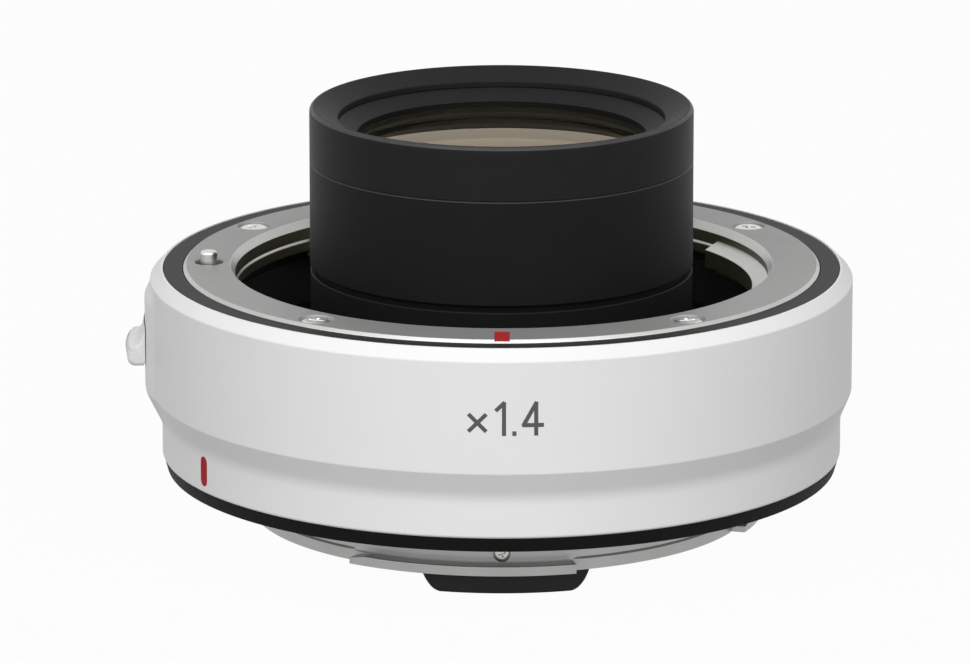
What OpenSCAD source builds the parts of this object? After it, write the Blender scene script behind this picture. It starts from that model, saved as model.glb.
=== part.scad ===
// Camera teleconverter: a short bayonet-to-bayonet lens adapter with its own glass.
// The origin is on the optical axis at the rear flange. +Z points to the lens in front.
// Angles round the axis start at the front of the body (-Y) and run towards +X.
// Radii are worked out from the throat: outwards to the shell, and inwards to the glass.

/* [Mount faces] */
// Distance from the rear flange to the front mount face
mount_length = 20.3; // [19.8:0.1:22]
// Bore of the front mount's throat
throat_d = 54; // [53:0.1:56]
// Depth of the throat's wall below the front face
throat_depth = 3.25; // [3:0.05:3.6]
// Width of the front mount's face, from the throat to its edge
mount_face_w = 5.25; // [5:0.05:5.8]
// Thickness of the front mount ring where it is screwed down
mount_ring_t = 2.4; // [2.1:0.1:2.8]
// How far the front bayonet tabs reach in from the throat
tab_reach = 1.6; // [1.2:0.1:1.8]
// Distance from the front face to the underside of the tabs
tab_depth = 4.05; // [3.8:0.05:4.3]
// Thickness of the rear flange
rear_flange_t = 2.2; // [2:0.1:2.6]
// Radial play between the rear neck and the tabs that it turns in
neck_play = 0.15; // [0.1:0.05:0.4]
// Wall of the rear neck
neck_wall = 1.05; // [0.9:0.05:1.3]
// Radial play between the rear lugs and the throat that they enter
lug_play = 0.2; // [0.1:0.05:0.5]
// Distance between the rear lugs and the tabs that they lock behind
lug_gap = 0.15; // [0.1:0.05:0.4]
// Thickness of the rear lugs
lug_t = 1; // [0.8:0.05:1.4]
// Thickness of the shim between rear flange and chassis
shim_t = 0.1; // [0.05:0.05:0.3]

/* [Body] */
// Width of the dark trim ring's seat, from the mount ring to the shell
trim_w = 2.05; // [1.7:0.05:2.6]
// Thickness of the front trim ring
trim_t = 1.1; // [0.8:0.1:1.2]
// Wall of the shell at its full diameter
shell_wall = 2.2; // [2:0.1:2.4]
// Radial width of the bevel at the shell's front rim
rim_bevel_w = 1.1; // [0.8:0.1:1.3]
// Height of the bevel at the shell's front rim
rim_bevel_h = 1.1; // [0.8:0.05:1.6]
// Radial step from the shell down to its slimmer rear end
rear_step = 1.1; // [0.7:0.1:1.3]
// Height of the step above the rear flange
rear_step_z = 7.65; // [6.8:0.05:8.4]
// Height of the sloped band at the step
rear_step_h = 2.65; // [1.6:0.05:2.9]
// Height of the shell's rear edge above the rear flange
shell_bottom = 0.8; // [0.5:0.1:1.2]
// How far the rubber seal stands below the rear flange
seal_drop = 0.57; // [0.3:0.01:0.8]
// Thickness of the chassis floor
floor_t = 2; // [1.8:0.1:2.4]
// Depth of the front cavity below the front mount face
cavity_depth = 8.9; // [8:0.1:9.6]

/* [Barrel] */
// Width of the gap between the barrel and the throat
front_gap = 7.6; // [7:0.1:8.4]
// Height of the front barrel above the front mount face
barrel_height = 16.35; // [15:0.05:18]
// Height of the barrel's cap
cap_height = 5.58; // [5:0.02:6.2]
// Width of the barrel's front rim
rim_w = 2.9; // [2.7:0.05:3.2]
// Height of the dark groove at the foot of the barrel
groove_h = 0.68; // [0.4:0.02:0.9]
// Depth of that groove
groove_depth = 0.6; // [0.4:0.05:0.8]
// Wall of the barrel where it fits into its base
spigot_wall = 1.9; // [1.6:0.1:2.1]

/* [Optics] */
// Wall of the barrel round the front lens group
barrel_wall = 3.55; // [3.2:0.05:3.9]
// How far the front retaining ring covers the front glass
front_lip = 1.2; // [0.9:0.1:1.6]
// Depth of the front glass below the barrel's rim
lens_setback = 3.25; // [2.9:0.05:3.6]
// Wall of the inner lens tube round the middle group
tube_wall = 3.4; // [3:0.1:3.8]
// How much smaller the rear groups' radius is than the middle group's
rear_inset = 0.4; // [0.2:0.1:0.8]
// Distance between the front group and the middle group
middle_gap = 3.2; // [3:0.1:4]
// How much wider the opening in the rear cover is than the rear glass, each side
rear_margin = 1.4; // [0.8:0.1:2]

/* [Contacts] */
// Distance from the throat in to the row of contacts
contact_inset = 5; // [4.7:0.05:5.4]
// Distance between neighbouring contacts
contact_pitch = 1.25; // [1.15:0.01:1.4]
// Distance from the last contact to the side of its block
contact_margin = 1.545; // [1.4:0.005:1.8]
// Diameter of a contact pin
pin_d = 0.68; // [0.5:0.02:0.76]
// How far a contact pin stands out of its block
pin_proud = 1.1; // [0.8:0.1:1.3]
// How far a contact pin can be pushed in
pin_travel = 0.6; // [0.3:0.05:0.7]
// Distance from the rear flange to the end of the rear contact block
contact_block_drop = 7.8; // [7:0.1:8.6]
// Radius of the rear contact block's lower corners
contact_block_corner = 1.3; // [0.6:0.1:1.4]
// Thickness of the circuit board
board_t = 1; // [0.8:0.1:1.2]

/* [Release] */
// Diameter of the lock pin
lock_pin_d = 1.7; // [1.5:0.05:1.9]
// How far the lock pin stands out of the front mount
lock_proud = 1.15; // [0.9:0.05:1.3]
// How far the release lever slides
lock_travel = 1.4; // [1.2:0.1:1.6]
// How far the lever's pad stands out of the shell
pad_rise = 0.65; // [0.4:0.05:0.9]
// Width of the lever's pad, as an angle
pad_angle = 20; // [18:1:24]
// How far the lever stands out of its pad
lever_rise = 1.95; // [1.6:0.05:2.4]
// Width of the lever, as an angle
lever_angle = 14; // [11:0.5:16]
// Height of the lever
lever_h = 3.6; // [3.3:0.1:4.2]

/* [Fasteners] */
// Thread diameter of the mount screws
mount_screw_d = 2; // [1.7:0.1:2.2]
// Thread diameter of the small screws
small_screw_d = 1.4; // [1.2:0.1:1.6]
// Thread diameter of the screw in the rear neck
neck_screw_d = 1; // [0.8:0.1:1.2]

/* [Hidden] */
$fn = 96;

// Clearances
thread_fit = 0.02;
slip_fit = 0.05;
running_fit = 0.03;
face_gap = 0.1;
loose_fit = 0.2;
cut = 1;

// Screw heads
mount_head_r = mount_screw_d * 0.8;
small_head_r = small_screw_d * 0.8;
neck_head_r = neck_screw_d * 0.8;
mount_screw_l = 6;
small_screw_l = 3;
head_sunk = 0.1;

// Front mount
front_z = mount_length;
seat_z = front_z - mount_ring_t;
throat_bottom = front_z - throat_depth;
tab_z = front_z - tab_depth;
throat_r = throat_d / 2;
tab_r = throat_r - tab_reach;
ring_r = throat_r + mount_face_w;
throat_bevel_w = 0.47;
throat_bevel_h = 0.8;
throat_ledge_w = 0.12;
throat_ledge_h = 1;
collar_w = 1;
collar_r = throat_r + collar_w;
tab_slope_h = 0.7;
tab_top_drop = 1.5;
tab_root_w = 0.8;
tab_top_z = front_z - tab_top_drop - tab_slope_h;
tab_root_r = throat_r + tab_root_w;
tab_root_z = tab_top_z + tab_slope_h * (tab_root_r - tab_r) / tab_reach;
screw_inset = 2.25;
screw_r = ring_r - screw_inset;
front_screw_angles = [-37.6, 37.6, 121.6, -121.6];

// Bayonet sectors, each as its first and last angle
front_tabs = [[-33, 22], [79.5, 124], [181, 226.5]];
rear_lugs = [[-35, 16], [66, 120], [168, 220]];

// Rings of the shell
rim_land = 0.2;
rebate_r = ring_r + trim_w;
body_r = rebate_r + rim_land + rim_bevel_w;
shell_in = body_r - shell_wall;
rear_r = body_r - rear_step;
shell_drop = 0.25;
trim_drop = 0.3;
shell_top = front_z - shell_drop;
bevel_z = shell_top - rim_bevel_h;
trim_top = front_z - trim_drop;
rebate_z = trim_top - trim_t;
edge_break = 0.12;
rib_t = 1.8;
rib_w = 0.8;
rib_z = seat_z - rib_t;
chassis_r = shell_in - loose_fit;
chassis_upper_r = chassis_r - rib_w;
ring_flange_gap = 0.3;
ring_flange_r = shell_in - ring_flange_gap;
ring_flange_drop = 0.15;
ring_flange_top = rebate_z - ring_flange_drop;

// Barrel
barrel_r = throat_r - front_gap;
barrel_top = front_z + barrel_height;
spigot_r = barrel_r - groove_depth;
tube_hole_r = spigot_r - spigot_wall;
base_r = barrel_r - slip_fit;
barrel_foot_rise = 0.13;
barrel_foot = front_z + barrel_foot_rise;
base_top = barrel_foot - groove_h;
base_flange_t = 1.4;
base_screw_angles = [60, 180, 300];
parting_z = barrel_top - cap_height;
parting_gap = 0.08;
cap_wall = 1;
socket_r = barrel_r - cap_wall;
socket_depth = 1.9;
rim_bore_r = barrel_r - rim_w;
rim_drop = 1.25;
rim_round = 0.6;
rim_flat = 0.1;
rim_lip_h = 0.6;
undercut = 0.45;
cap_bore_r = rim_bore_r + undercut;
undercut_h = 0.05;
rim_lip_z = barrel_top - rim_drop - rim_lip_h;
ring_top = rim_lip_z - undercut_h;
front_barrel_top = parting_z + socket_depth - slip_fit;

// Chassis and the front cavity
chassis_z = rear_flange_t + shim_t;
floor_z = chassis_z + floor_t;
cavity_z = front_z - cavity_depth;
cavity_floor_t = 0.8;
cavity_step_z = cavity_z - cavity_floor_t;
pocket_r = collar_r + face_gap;
pocket_drop = 0.25;
pocket_z = tab_z - pocket_drop;
cavity_step_w = 0.6;
cavity_r = throat_r + cavity_step_w;
chassis_step_w = 0.5;
chassis_in = throat_r - chassis_step_w;
lens_tube_r = tube_hole_r - slip_fit;
chassis_hole_gap = 0.15;
chassis_hole_r = lens_tube_r + chassis_hole_gap;
boss_wall = 0.7;
boss_r = small_screw_d / 2 + boss_wall;
boss_inset = 1;
floor_screw_r = chassis_in - boss_inset;
floor_screw_angles = [80, 200, 290];
board_screw_angles = [40, 160, 250];
base_seat_h = 5.7;
base_seat_z = floor_z + base_seat_h;
base_flange_gap = 0.5;
base_flange_r = floor_screw_r - boss_r - base_flange_gap;
base_screw_r = (base_r + base_flange_r) / 2;

// Lens faces: radii of curvature, where positive bulges outwards
lens_1_front_r = 400;
lens_2_front_r = 60;
lens_2_rear_r = 110;
lens_3_front_r = -80;
lens_4_front_r = 40;
lens_4_rear_r = -150;
lens_5_front_r = 60;
lens_6_front_r = -45;
lens_6_rear_r = 90;
lens_7_front_r = -45;
lens_7_rear_r = 200;
lens_steps = 14;

// Lens heights: the front and middle groups hang from the barrel's rim, the rear ones stand on the floor
cement = 0.02;
front_lens_r = barrel_r - barrel_wall - slip_fit;
middle_lens_r = lens_tube_r - slip_fit - tube_wall;
rear_lens_r = middle_lens_r - rear_inset;
lens_1_t = 1.6;
lens_2_edge = 2;
lens_3_t = 1.4;
lens_4_edge = 1.6;
lens_5_edge = 1.4;
lens_6_t = 1.5;
lens_7_t = 1.8;
rear_gap = 3.7;
rear_group_drop = 4.5;
lens_2_t = lens_2_edge + sag(lens_2_front_r, front_lens_r) + sag(lens_2_rear_r, front_lens_r);
lens_4_t = lens_4_edge + sag(lens_4_front_r, middle_lens_r) - sag(lens_4_rear_r, middle_lens_r);
lens_5_t = lens_5_edge + sag(lens_5_front_r, rear_lens_r) + sag(lens_6_front_r, rear_lens_r);
lens_1_z = barrel_top - lens_setback;
lens_2_z = lens_1_z - lens_1_t;
lens_2_back = lens_2_z - lens_2_t;
lens_3_z = lens_2_back - middle_gap;
lens_4_z = lens_3_z - lens_3_t;
lens_4_back = lens_4_z - lens_4_t;
lens_7_back = floor_z - rear_group_drop;
lens_7_z = lens_7_back + lens_7_t;
lens_6_back = lens_7_z + rear_gap;
lens_6_z = lens_6_back + lens_6_t;
lens_5_z = lens_6_z + lens_5_t;

// Seats that the lens edges rest on
seat_w = 1.2;
front_seat_z = lens_2_back + sag(lens_2_rear_r, front_lens_r - seat_w) - slip_fit;
middle_front_z = lens_3_z + sag(lens_3_front_r, middle_lens_r);
middle_back_z = lens_4_back - sag(lens_4_rear_r, middle_lens_r);
rear_stop_r = rear_lens_r - seat_w;
rear_stop_z = lens_5_z - sag(lens_5_front_r, rear_stop_r) + slip_fit;
spacer_top = lens_6_back + sag(lens_6_rear_r, rear_stop_r) - slip_fit;
spacer_bottom = lens_7_z + sag(lens_7_front_r, rear_lens_r) + slip_fit;
rear_ring_top = lens_7_back + sag(lens_7_rear_r, rear_stop_r) - slip_fit;
rear_ring_h = 1.7;
lens_tube_bottom = rear_ring_top - rear_ring_h;
middle_ring_h = 1.3;
lens_tube_top = middle_front_z + slip_fit + middle_ring_h;

// Contacts and electronics
contact_angle = 0.95;
contact_count = 12;
contact_r = throat_r - contact_inset;
pitch_angle = contact_pitch / contact_r * 180 / PI;
block_half_w = (contact_count - 1) / 2 * contact_pitch + contact_margin;
front_block_gap = 0.95;
front_block_w = 2.2;
front_block_rise = 0.6;
front_block_in = base_r + front_block_gap;
front_block_out = contact_r + front_block_w;
front_block_top = cavity_z + front_block_rise;
board_gap = 0.85;
board_drop = 1.5;
board_top = cavity_step_z - board_drop;
board_z = board_top - board_t;
board_out = chassis_in - loose_fit;
board_in = base_r + board_gap;
chip_h = 1;
pin_r = pin_d / 2;
pin_collar_w = 0.12;
pin_collar_r = pin_r + pin_collar_w;
pin_collar_h = 0.5;
pin_shoulder_drop = 1.1;
pin_shoulder_z = front_block_top - pin_shoulder_drop;
pin_collar_top = pin_shoulder_z - face_gap;
pin_pocket_z = pin_collar_top - pin_collar_h - pin_travel - face_gap;
contact_pad_r = 0.45;
contact_pad_t = 0.3;
contact_pad_sunk = 0.05;
flex_w = 8;
flex_t = 0.2;
flex_gap = 0.6;

// Rear mount
seal_w = 0.8;
flange_r = shell_in - seal_w;
neck_r = tab_r - neck_play;
neck_bore_r = neck_r - neck_wall;
lug_r = throat_r - lug_play;
lug_start = tab_depth + lug_gap;
lug_low = -(lug_start + lug_t);
neck_lip = 0.05;
neck_end = lug_low - neck_lip;
neck_rim_w = 0.2;
neck_rim_h = 1.35;
neck_rim_overlap = 0.5;
relief_w = 0.3;
relief_r = throat_r + relief_w;
relief_h = 0.35;
rear_screw_angles = [45, 135, 225, 315];
rear_block_out = neck_bore_r - face_gap;
rear_block_w = 2.1;
rear_block_in = contact_r - rear_block_w;
rear_block_drop = 0.8;
rear_block_top = rear_flange_t - rear_block_drop;
lock_hole_r = 1.5;
lock_hole_floor = 0.4;
neck_screw_rise = 0.9;
neck_screw_z = neck_screw_rise - lug_start;
cover_rise = 0.6;
cover_z = neck_end + cover_rise;
cover_t = 1.2;
cover_r = neck_bore_r - loose_fit;
cover_hub_in = chassis_hole_r + face_gap;
cover_hub_t = 1.2;
cover_hub_out = cover_hub_in + cover_hub_t;
cover_post_r = 1.5;
cover_grip = 1.2;
cover_screw_gap = 2.8;
cover_screw_r = cover_hub_out + cover_screw_gap;
cover_screw_angles = [90, 210, 330];
rear_opening_r = rear_lens_r + rear_margin;
seal_in = flange_r + face_gap;
seal_lip_w = 0.25;
seal_lip_r = rear_r - seal_lip_w;

// Release lever, slider and lock pin, on the -X side
lever_side = -90;
lever_gap = 0.12;
lock_inset = 2.6;
lock_r = ring_r - lock_inset;
lock_pin_r = lock_pin_d / 2;
lock_pin_gap = 0.1;
lock_recess_w = 0.6;
lock_recess_r = lock_pin_r + lock_recess_w;
lock_recess_h = 0.8;
lock_top = front_z + lock_proud;
lever_pad_r = body_r + pad_rise;
pad_ramp_h = 1.95;
pad_ramp_z = bevel_z - pad_ramp_h;
pad_low_lift = 0.1;
pad_low_z = rear_step_z + pad_low_lift;
pad_slope_h = 3.4;
pad_root = 0.3;
pad_root_r = rear_r - pad_root;
pad_root_z = pad_low_z - pad_slope_h * (lever_pad_r - pad_root_r) / (lever_pad_r - rear_r);
lever_lift = 2.85;
lever_z = rear_step_z + lever_lift;
stem_lift = 0.1;
stem_z = lever_z + stem_lift;
stem_h = 2;
stem_w = 3.2;
slider_drop = 1.8;
slider_z = stem_z - slider_drop;
slider_t = 1;
slider_w = 6;
tongue_gap = 0.35;
tongue_out = shell_in - tongue_gap;
tongue_rise = 0.5;
tongue_h = stem_z + stem_h + tongue_rise - slider_z;
slider_gap = 0.25;
pin_flange_h = 0.8;
pin_flange_z = slider_z - pin_flange_h;
pin_flange_w = 0.5;
pin_flange_r = lock_pin_r + pin_flange_w;
pin_foot_w = 0.15;
pin_foot_r = lock_pin_r - pin_foot_w;
spring_bore_r = pin_flange_r + loose_fit;
spring_floor = floor_z + face_gap;
pin_foot_z = spring_floor + lock_travel + face_gap;
wire_r = 0.15;
coil_r = pin_foot_r + wire_r + loose_fit;
coil_end_gap = 0.02;
coil_turns = 5;
coil_rings = 8;
coil_sides = 6;

// Height of a sphere's cap of radius roc at distance r from its axis
function sag(roc, r) = abs(roc) - sqrt(roc * roc - r * r);

// Quarter-round outline from angle a0 to a1 about a centre
function arc(centre, r, a0, a1, steps = 6) =
    [for (i = [0:steps]) let (a = a0 + (a1 - a0) * i / steps) centre + r * [cos(a), sin(a)]];

// Points of a lens face from its centre to its edge; side is 1 at the front and -1 at the rear
function lens_face(z, roc, r, side) =
    [for (i = [0:lens_steps]) let (x = r * i / lens_steps) [x, z - side * sign(roc) * sag(roc, x)]];

function backwards(list) = [for (i = [len(list) - 1:-1:0]) list[i]];

// Solid turned about the optical axis from an outline of radius and height
module turned(points) {
    rotate_extrude() polygon(points);
}

// Part of such a solid between two angles
module sector(points, from, to) {
    rotate([0, 0, from - 90]) rotate_extrude(angle = to - from) polygon(points);
}

module ring(inner, outer, low, high) {
    turned([[inner, low], [outer, low], [outer, high], [inner, high]]);
}

// Puts a shape at an angle and radius, with +X pointing outwards
module place(angle, r, z = 0) {
    rotate([0, 0, angle - 90]) translate([r, 0, z]) children();
}

// Countersunk cross-head screw with its flat top at z = 0
module screw(thread_d, head_r, length) {
    head_h = head_r - thread_d / 2;
    slot_l = head_r * 1.2;
    slot_w = head_r * 0.3;
    slot_h = head_r * 0.35;
    difference() {
        union() {
            translate([0, 0, -length]) cylinder(d = thread_d, h = length);
            translate([0, 0, -head_h]) cylinder(r1 = thread_d / 2, r2 = head_r, h = head_h);
        }
        for (turn = [0, 90])
            rotate([0, 0, turn]) translate([-slot_l / 2, -slot_w / 2, -slot_h])
                cube([slot_l, slot_w, slot_h + cut]);
    }
}

// Hole and countersink for such a screw, sunk a little below the surface
module screw_seat(thread_d, head_r, length) {
    hole_r = thread_d / 2 + thread_fit;
    seat_r = head_r + thread_fit;
    head_h = head_r - thread_d / 2;
    translate([0, 0, -length - cut]) cylinder(r = hole_r, h = length + cut);
    translate([0, 0, -head_h - head_sunk]) cylinder(r1 = hole_r, r2 = seat_r, h = head_h);
    translate([0, 0, -head_sunk]) cylinder(r = seat_r, h = head_sunk + cut);
}

module small_screw() {
    screw(small_screw_d, small_head_r, small_screw_l);
}

module small_screw_seat() {
    screw_seat(small_screw_d, small_head_r, small_screw_l);
}

module outer_shell() {
    slot_w = stem_w + 2 * slider_gap;
    rib_in = chassis_upper_r + loose_fit;
    color("whitesmoke") difference() {
        union() {
            turned([
                [shell_in, shell_bottom], [rear_r - edge_break, shell_bottom],
                [rear_r, shell_bottom + edge_break], [rear_r, rear_step_z - rear_step_h],
                [body_r, rear_step_z], [body_r, bevel_z], [body_r - rim_bevel_w, shell_top],
                [rebate_r, shell_top], [rebate_r, rebate_z], [shell_in, rebate_z], [shell_in, seat_z],
                [rib_in, seat_z], [rib_in, rib_z], [shell_in, rib_z]]);
            sector([
                [pad_root_r, pad_root_z], [lever_pad_r, pad_low_z], [lever_pad_r, pad_ramp_z],
                [body_r, bevel_z], [shell_in + cut, bevel_z]],
                lever_side - pad_angle / 2, lever_side + pad_angle / 2);
        }
        place(lever_side, shell_in - cut, stem_z - lock_travel - slider_gap)
            translate([0, -slot_w / 2, 0])
                cube([shell_wall + pad_rise + 2 * cut, slot_w, stem_h + lock_travel + 2 * slider_gap]);
        index_bar(0);
    }
}

// Round-ended bar let into the shell's rear end, which stands proud of it by the given height
module index_bar(proud) {
    bar_w = 1.25;
    bar_h = 3.05;
    bar_t = 0.3;
    bar_angle = -59.4;
    bar_rise = 0.75;
    middle_z = shell_bottom + bar_rise + bar_h / 2;
    intersection() {
        ring(rear_r - bar_t, rear_r + proud, middle_z - bar_h, middle_z + bar_h);
        place(bar_angle, rear_r - 2 * bar_t, middle_z) rotate([0, 90, 0]) linear_extrude(4 * bar_t)
            union() {
                square([bar_h - bar_w, bar_w], center = true);
                for (side = [-1, 1])
                    translate([side * (bar_h - bar_w) / 2, 0]) circle(d = bar_w);
            }
    }
}

module body_index_mark() {
    color("crimson") index_bar(0.02);
}

module front_trim_ring() {
    color("dimgray") ring(ring_r + slip_fit, rebate_r - slip_fit, rebate_z, trim_top);
}

// Red block let into the mount face
module index_block(proud) {
    block_w = 1.5;
    block_t = 0.3;
    edge_margin = 0.15;
    block_margin = 1.7;
    block_from = throat_r + block_margin;
    block_l = ring_r - edge_margin - block_from;
    place(0, block_from, front_z - block_t)
        translate([0, -block_w / 2, 0]) cube([block_l, block_w, block_t + proud]);
}

module front_index_mark() {
    color("crimson") index_block(0);
}

module front_mount_ring() {
    color("silver") difference() {
        union() {
            turned([
                [throat_r + throat_bevel_w, front_z], [ring_r, front_z], [ring_r, ring_flange_top],
                [ring_flange_r, ring_flange_top], [ring_flange_r, seat_z], [collar_r, seat_z],
                [collar_r, throat_bottom], [throat_r - throat_ledge_w, throat_bottom],
                [throat_r - throat_ledge_w, throat_bottom + throat_ledge_h],
                [throat_r, throat_bottom + throat_ledge_h + 2 * throat_ledge_w],
                [throat_r, front_z - throat_bevel_h]]);
            for (tab = front_tabs)
                sector([[tab_r, tab_z], [tab_root_r, tab_z], [tab_root_r, tab_root_z], [tab_r, tab_top_z]],
                    tab[0], tab[1]);
        }
        for (a = front_screw_angles)
            place(a, screw_r, front_z) screw_seat(mount_screw_d, mount_head_r, mount_screw_l);
        place(lever_side, lock_r, front_z - lock_recess_h)
            cylinder(r = lock_recess_r, h = lock_recess_h + cut);
        place(lever_side, lock_r, seat_z - cut)
            cylinder(r = lock_pin_r + lock_pin_gap, h = mount_ring_t + 2 * cut);
        index_block(cut);
    }
}

module front_mount_screws() {
    color("gainsboro") for (a = front_screw_angles)
        place(a, screw_r, front_z - head_sunk) screw(mount_screw_d, mount_head_r, mount_screw_l);
}

module mount_leaf_springs() {
    spring_t = 0.15;
    end_gap = 4;
    inner = tab_r + loose_fit;
    outer = tab_root_r - face_gap;
    color("silver") for (tab = front_tabs)
        sector([[inner, tab_z - spring_t], [outer, tab_z - spring_t], [outer, tab_z], [inner, tab_z]],
            tab[0] + end_gap, tab[1] - end_gap);
}

module chassis() {
    boss_z = floor_z - cut / 2;
    cover_thread_h = 1.5;
    color("#1a1a1a") difference() {
        union() {
            turned([
                [chassis_hole_r, chassis_z], [chassis_r, chassis_z], [chassis_r, rib_z],
                [chassis_upper_r, rib_z], [chassis_upper_r, seat_z], [pocket_r, seat_z], [pocket_r, pocket_z],
                [cavity_r, pocket_z], [cavity_r, cavity_step_z], [chassis_in, cavity_step_z],
                [chassis_in, floor_z], [chassis_hole_r, floor_z]]);
            for (a = floor_screw_angles)
                place(a, floor_screw_r, boss_z) cylinder(r = boss_r, h = cavity_step_z - slip_fit - boss_z);
            for (a = board_screw_angles)
                place(a, floor_screw_r, boss_z) cylinder(r = boss_r, h = board_z - boss_z);
        }
        for (a = front_screw_angles)
            place(a, screw_r, front_z - head_sunk)
                screw_seat(mount_screw_d, mount_head_r, mount_screw_l);
        for (a = rear_screw_angles)
            place(a, screw_r, head_sunk) mirror([0, 0, 1])
                screw_seat(mount_screw_d, mount_head_r, mount_screw_l);
        for (a = floor_screw_angles)
            place(a, floor_screw_r, cavity_z - head_sunk) small_screw_seat();
        for (a = board_screw_angles)
            place(a, floor_screw_r, board_top - head_sunk) small_screw_seat();
        for (a = base_screw_angles)
            place(a, base_screw_r, floor_z + base_flange_t - head_sunk) small_screw_seat();
        for (a = cover_screw_angles)
            place(a, cover_screw_r, chassis_z - cut)
                cylinder(d = small_screw_d + 2 * thread_fit, h = cover_thread_h + cut);
        flex_slot();
        release_pocket();
    }
}

// Room in the chassis for the slider, its tongue, the pin and the spring
module release_pocket() {
    pocket_low = slider_z - lock_travel - slider_gap;
    half_w = slider_w / 2 + slider_gap;
    arm_top = slider_z + slider_t + slider_gap;
    tongue_top = slider_z + tongue_h + slider_gap;
    place(lever_side, lock_r - pin_flange_r - slider_gap, pocket_low)
        translate([0, -half_w, 0]) cube([body_r, 2 * half_w, arm_top - pocket_low]);
    place(lever_side, tongue_out - slider_t - slider_gap, pocket_low)
        translate([0, -half_w, 0]) cube([body_r, 2 * half_w, tongue_top - pocket_low]);
    place(lever_side, lock_r, spring_floor) cylinder(r = spring_bore_r, h = slider_z - spring_floor);
    place(lever_side, lock_r, slider_z) cylinder(r = lock_pin_r + running_fit, h = front_z - slider_z);
}

module front_barrel() {
    low = base_seat_z + slip_fit;
    wall_top = parting_z - parting_gap / 2;
    cell_r = front_lens_r + slip_fit;
    ledge_r = front_lens_r - seat_w;
    color("#202020") turned([
        [tube_hole_r, low], [spigot_r, low], [spigot_r, barrel_foot], [barrel_r, barrel_foot],
        [barrel_r, wall_top], [socket_r, wall_top], [socket_r, front_barrel_top], [cell_r, front_barrel_top],
        [cell_r, front_seat_z], [ledge_r, front_seat_z], [ledge_r, lens_tube_top + slip_fit],
        [tube_hole_r, lens_tube_top + slip_fit]]);
}

module barrel_cap() {
    spigot_hole_r = socket_r + slip_fit;
    color("#262626") turned(concat(
        [[spigot_hole_r, parting_z + parting_gap / 2], [barrel_r, parting_z + parting_gap / 2]],
        arc([barrel_r - rim_round, barrel_top - rim_round], rim_round, 0, 90),
        [[barrel_r - rim_round - rim_flat, barrel_top], [rim_bore_r, barrel_top - rim_drop],
         [rim_bore_r, rim_lip_z], [cap_bore_r, rim_lip_z], [cap_bore_r, parting_z + socket_depth],
         [spigot_hole_r, parting_z + socket_depth]]));
}

module barrel_base() {
    flange_top = floor_z + base_flange_t;
    spigot_hole_r = spigot_r + slip_fit;
    color("#1c1c1c") difference() {
        turned([
            [tube_hole_r, floor_z], [base_flange_r, floor_z], [base_flange_r, flange_top],
            [base_r, flange_top], [base_r, base_top - edge_break], [base_r - edge_break, base_top],
            [spigot_hole_r, base_top], [spigot_hole_r, base_seat_z], [tube_hole_r, base_seat_z]]);
        for (a = base_screw_angles)
            place(a, base_screw_r, flange_top) small_screw_seat();
        flex_slot();
    }
}

module barrel_base_screws() {
    color("dimgray") for (a = base_screw_angles)
        place(a, base_screw_r, floor_z + base_flange_t - head_sunk) small_screw();
}

module front_retaining_ring() {
    lip = front_lens_r - front_lip;
    ring_out = cap_bore_r - slip_fit;
    ring_low = lens_1_z - sag(lens_1_front_r, lip) + slip_fit;
    shoulder_z = front_barrel_top + slip_fit;
    cell_r = front_lens_r + slip_fit;
    lip_h = 0.6;
    color("#181818") turned([
        [lip, ring_low], [cell_r, ring_low], [cell_r, shoulder_z], [ring_out, shoulder_z],
        [ring_out, ring_top], [rim_bore_r - slip_fit, ring_top], [lip, ring_low + lip_h]]);
}

// One element between two vertex heights, each with its face's radius of curvature
module lens(r, top, top_roc, bottom, bottom_roc) {
    color("lightsteelblue", 0.5)
        turned(concat(lens_face(top, top_roc, r, 1), backwards(lens_face(bottom, bottom_roc, r, -1))));
}

module lens_1() {
    lens(front_lens_r, lens_1_z, lens_1_front_r, lens_2_z + cement, -lens_2_front_r);
}

module lens_2() {
    lens(front_lens_r, lens_2_z, lens_2_front_r, lens_2_back, lens_2_rear_r);
}

module lens_3() {
    lens(middle_lens_r, lens_3_z, lens_3_front_r, lens_4_z + cement, -lens_4_front_r);
}

module lens_4() {
    lens(middle_lens_r, lens_4_z, lens_4_front_r, lens_4_back, lens_4_rear_r);
}

module lens_5() {
    lens(rear_lens_r, lens_5_z, lens_5_front_r, lens_6_z + cement, -lens_6_front_r);
}

module lens_6() {
    lens(rear_lens_r, lens_6_z, lens_6_front_r, lens_6_back, lens_6_rear_r);
}

module lens_7() {
    lens(rear_lens_r, lens_7_z, lens_7_front_r, lens_7_back, lens_7_rear_r);
}

module inner_lens_tube() {
    rear_cell_r = rear_lens_r + slip_fit;
    middle_cell_r = middle_lens_r + slip_fit;
    middle_stop_z = middle_back_z - slip_fit;
    color("#242424") turned([
        [rear_cell_r, lens_tube_bottom], [lens_tube_r, lens_tube_bottom], [lens_tube_r, lens_tube_top],
        [middle_cell_r, lens_tube_top], [middle_cell_r, middle_stop_z], [rear_stop_r, middle_stop_z],
        [rear_stop_r, rear_stop_z], [rear_cell_r, rear_stop_z]]);
}

module middle_retaining_ring() {
    color("#181818") ring(middle_lens_r - seat_w, middle_lens_r, middle_front_z + slip_fit, lens_tube_top);
}

module lens_spacer() {
    color("#181818") ring(rear_lens_r - seat_w, rear_lens_r, spacer_bottom, spacer_top);
}

module rear_retaining_ring() {
    color("#181818") ring(rear_lens_r - seat_w, rear_lens_r, lens_tube_bottom, rear_ring_top);
}

// Upright prism with the outline of the contact blocks, between two heights
module contact_prism(low, high, gap) {
    half_w = block_half_w + gap;
    place(contact_angle, 0, low) translate([0, -half_w, 0]) cube([body_r, 2 * half_w, high - low]);
}

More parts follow.
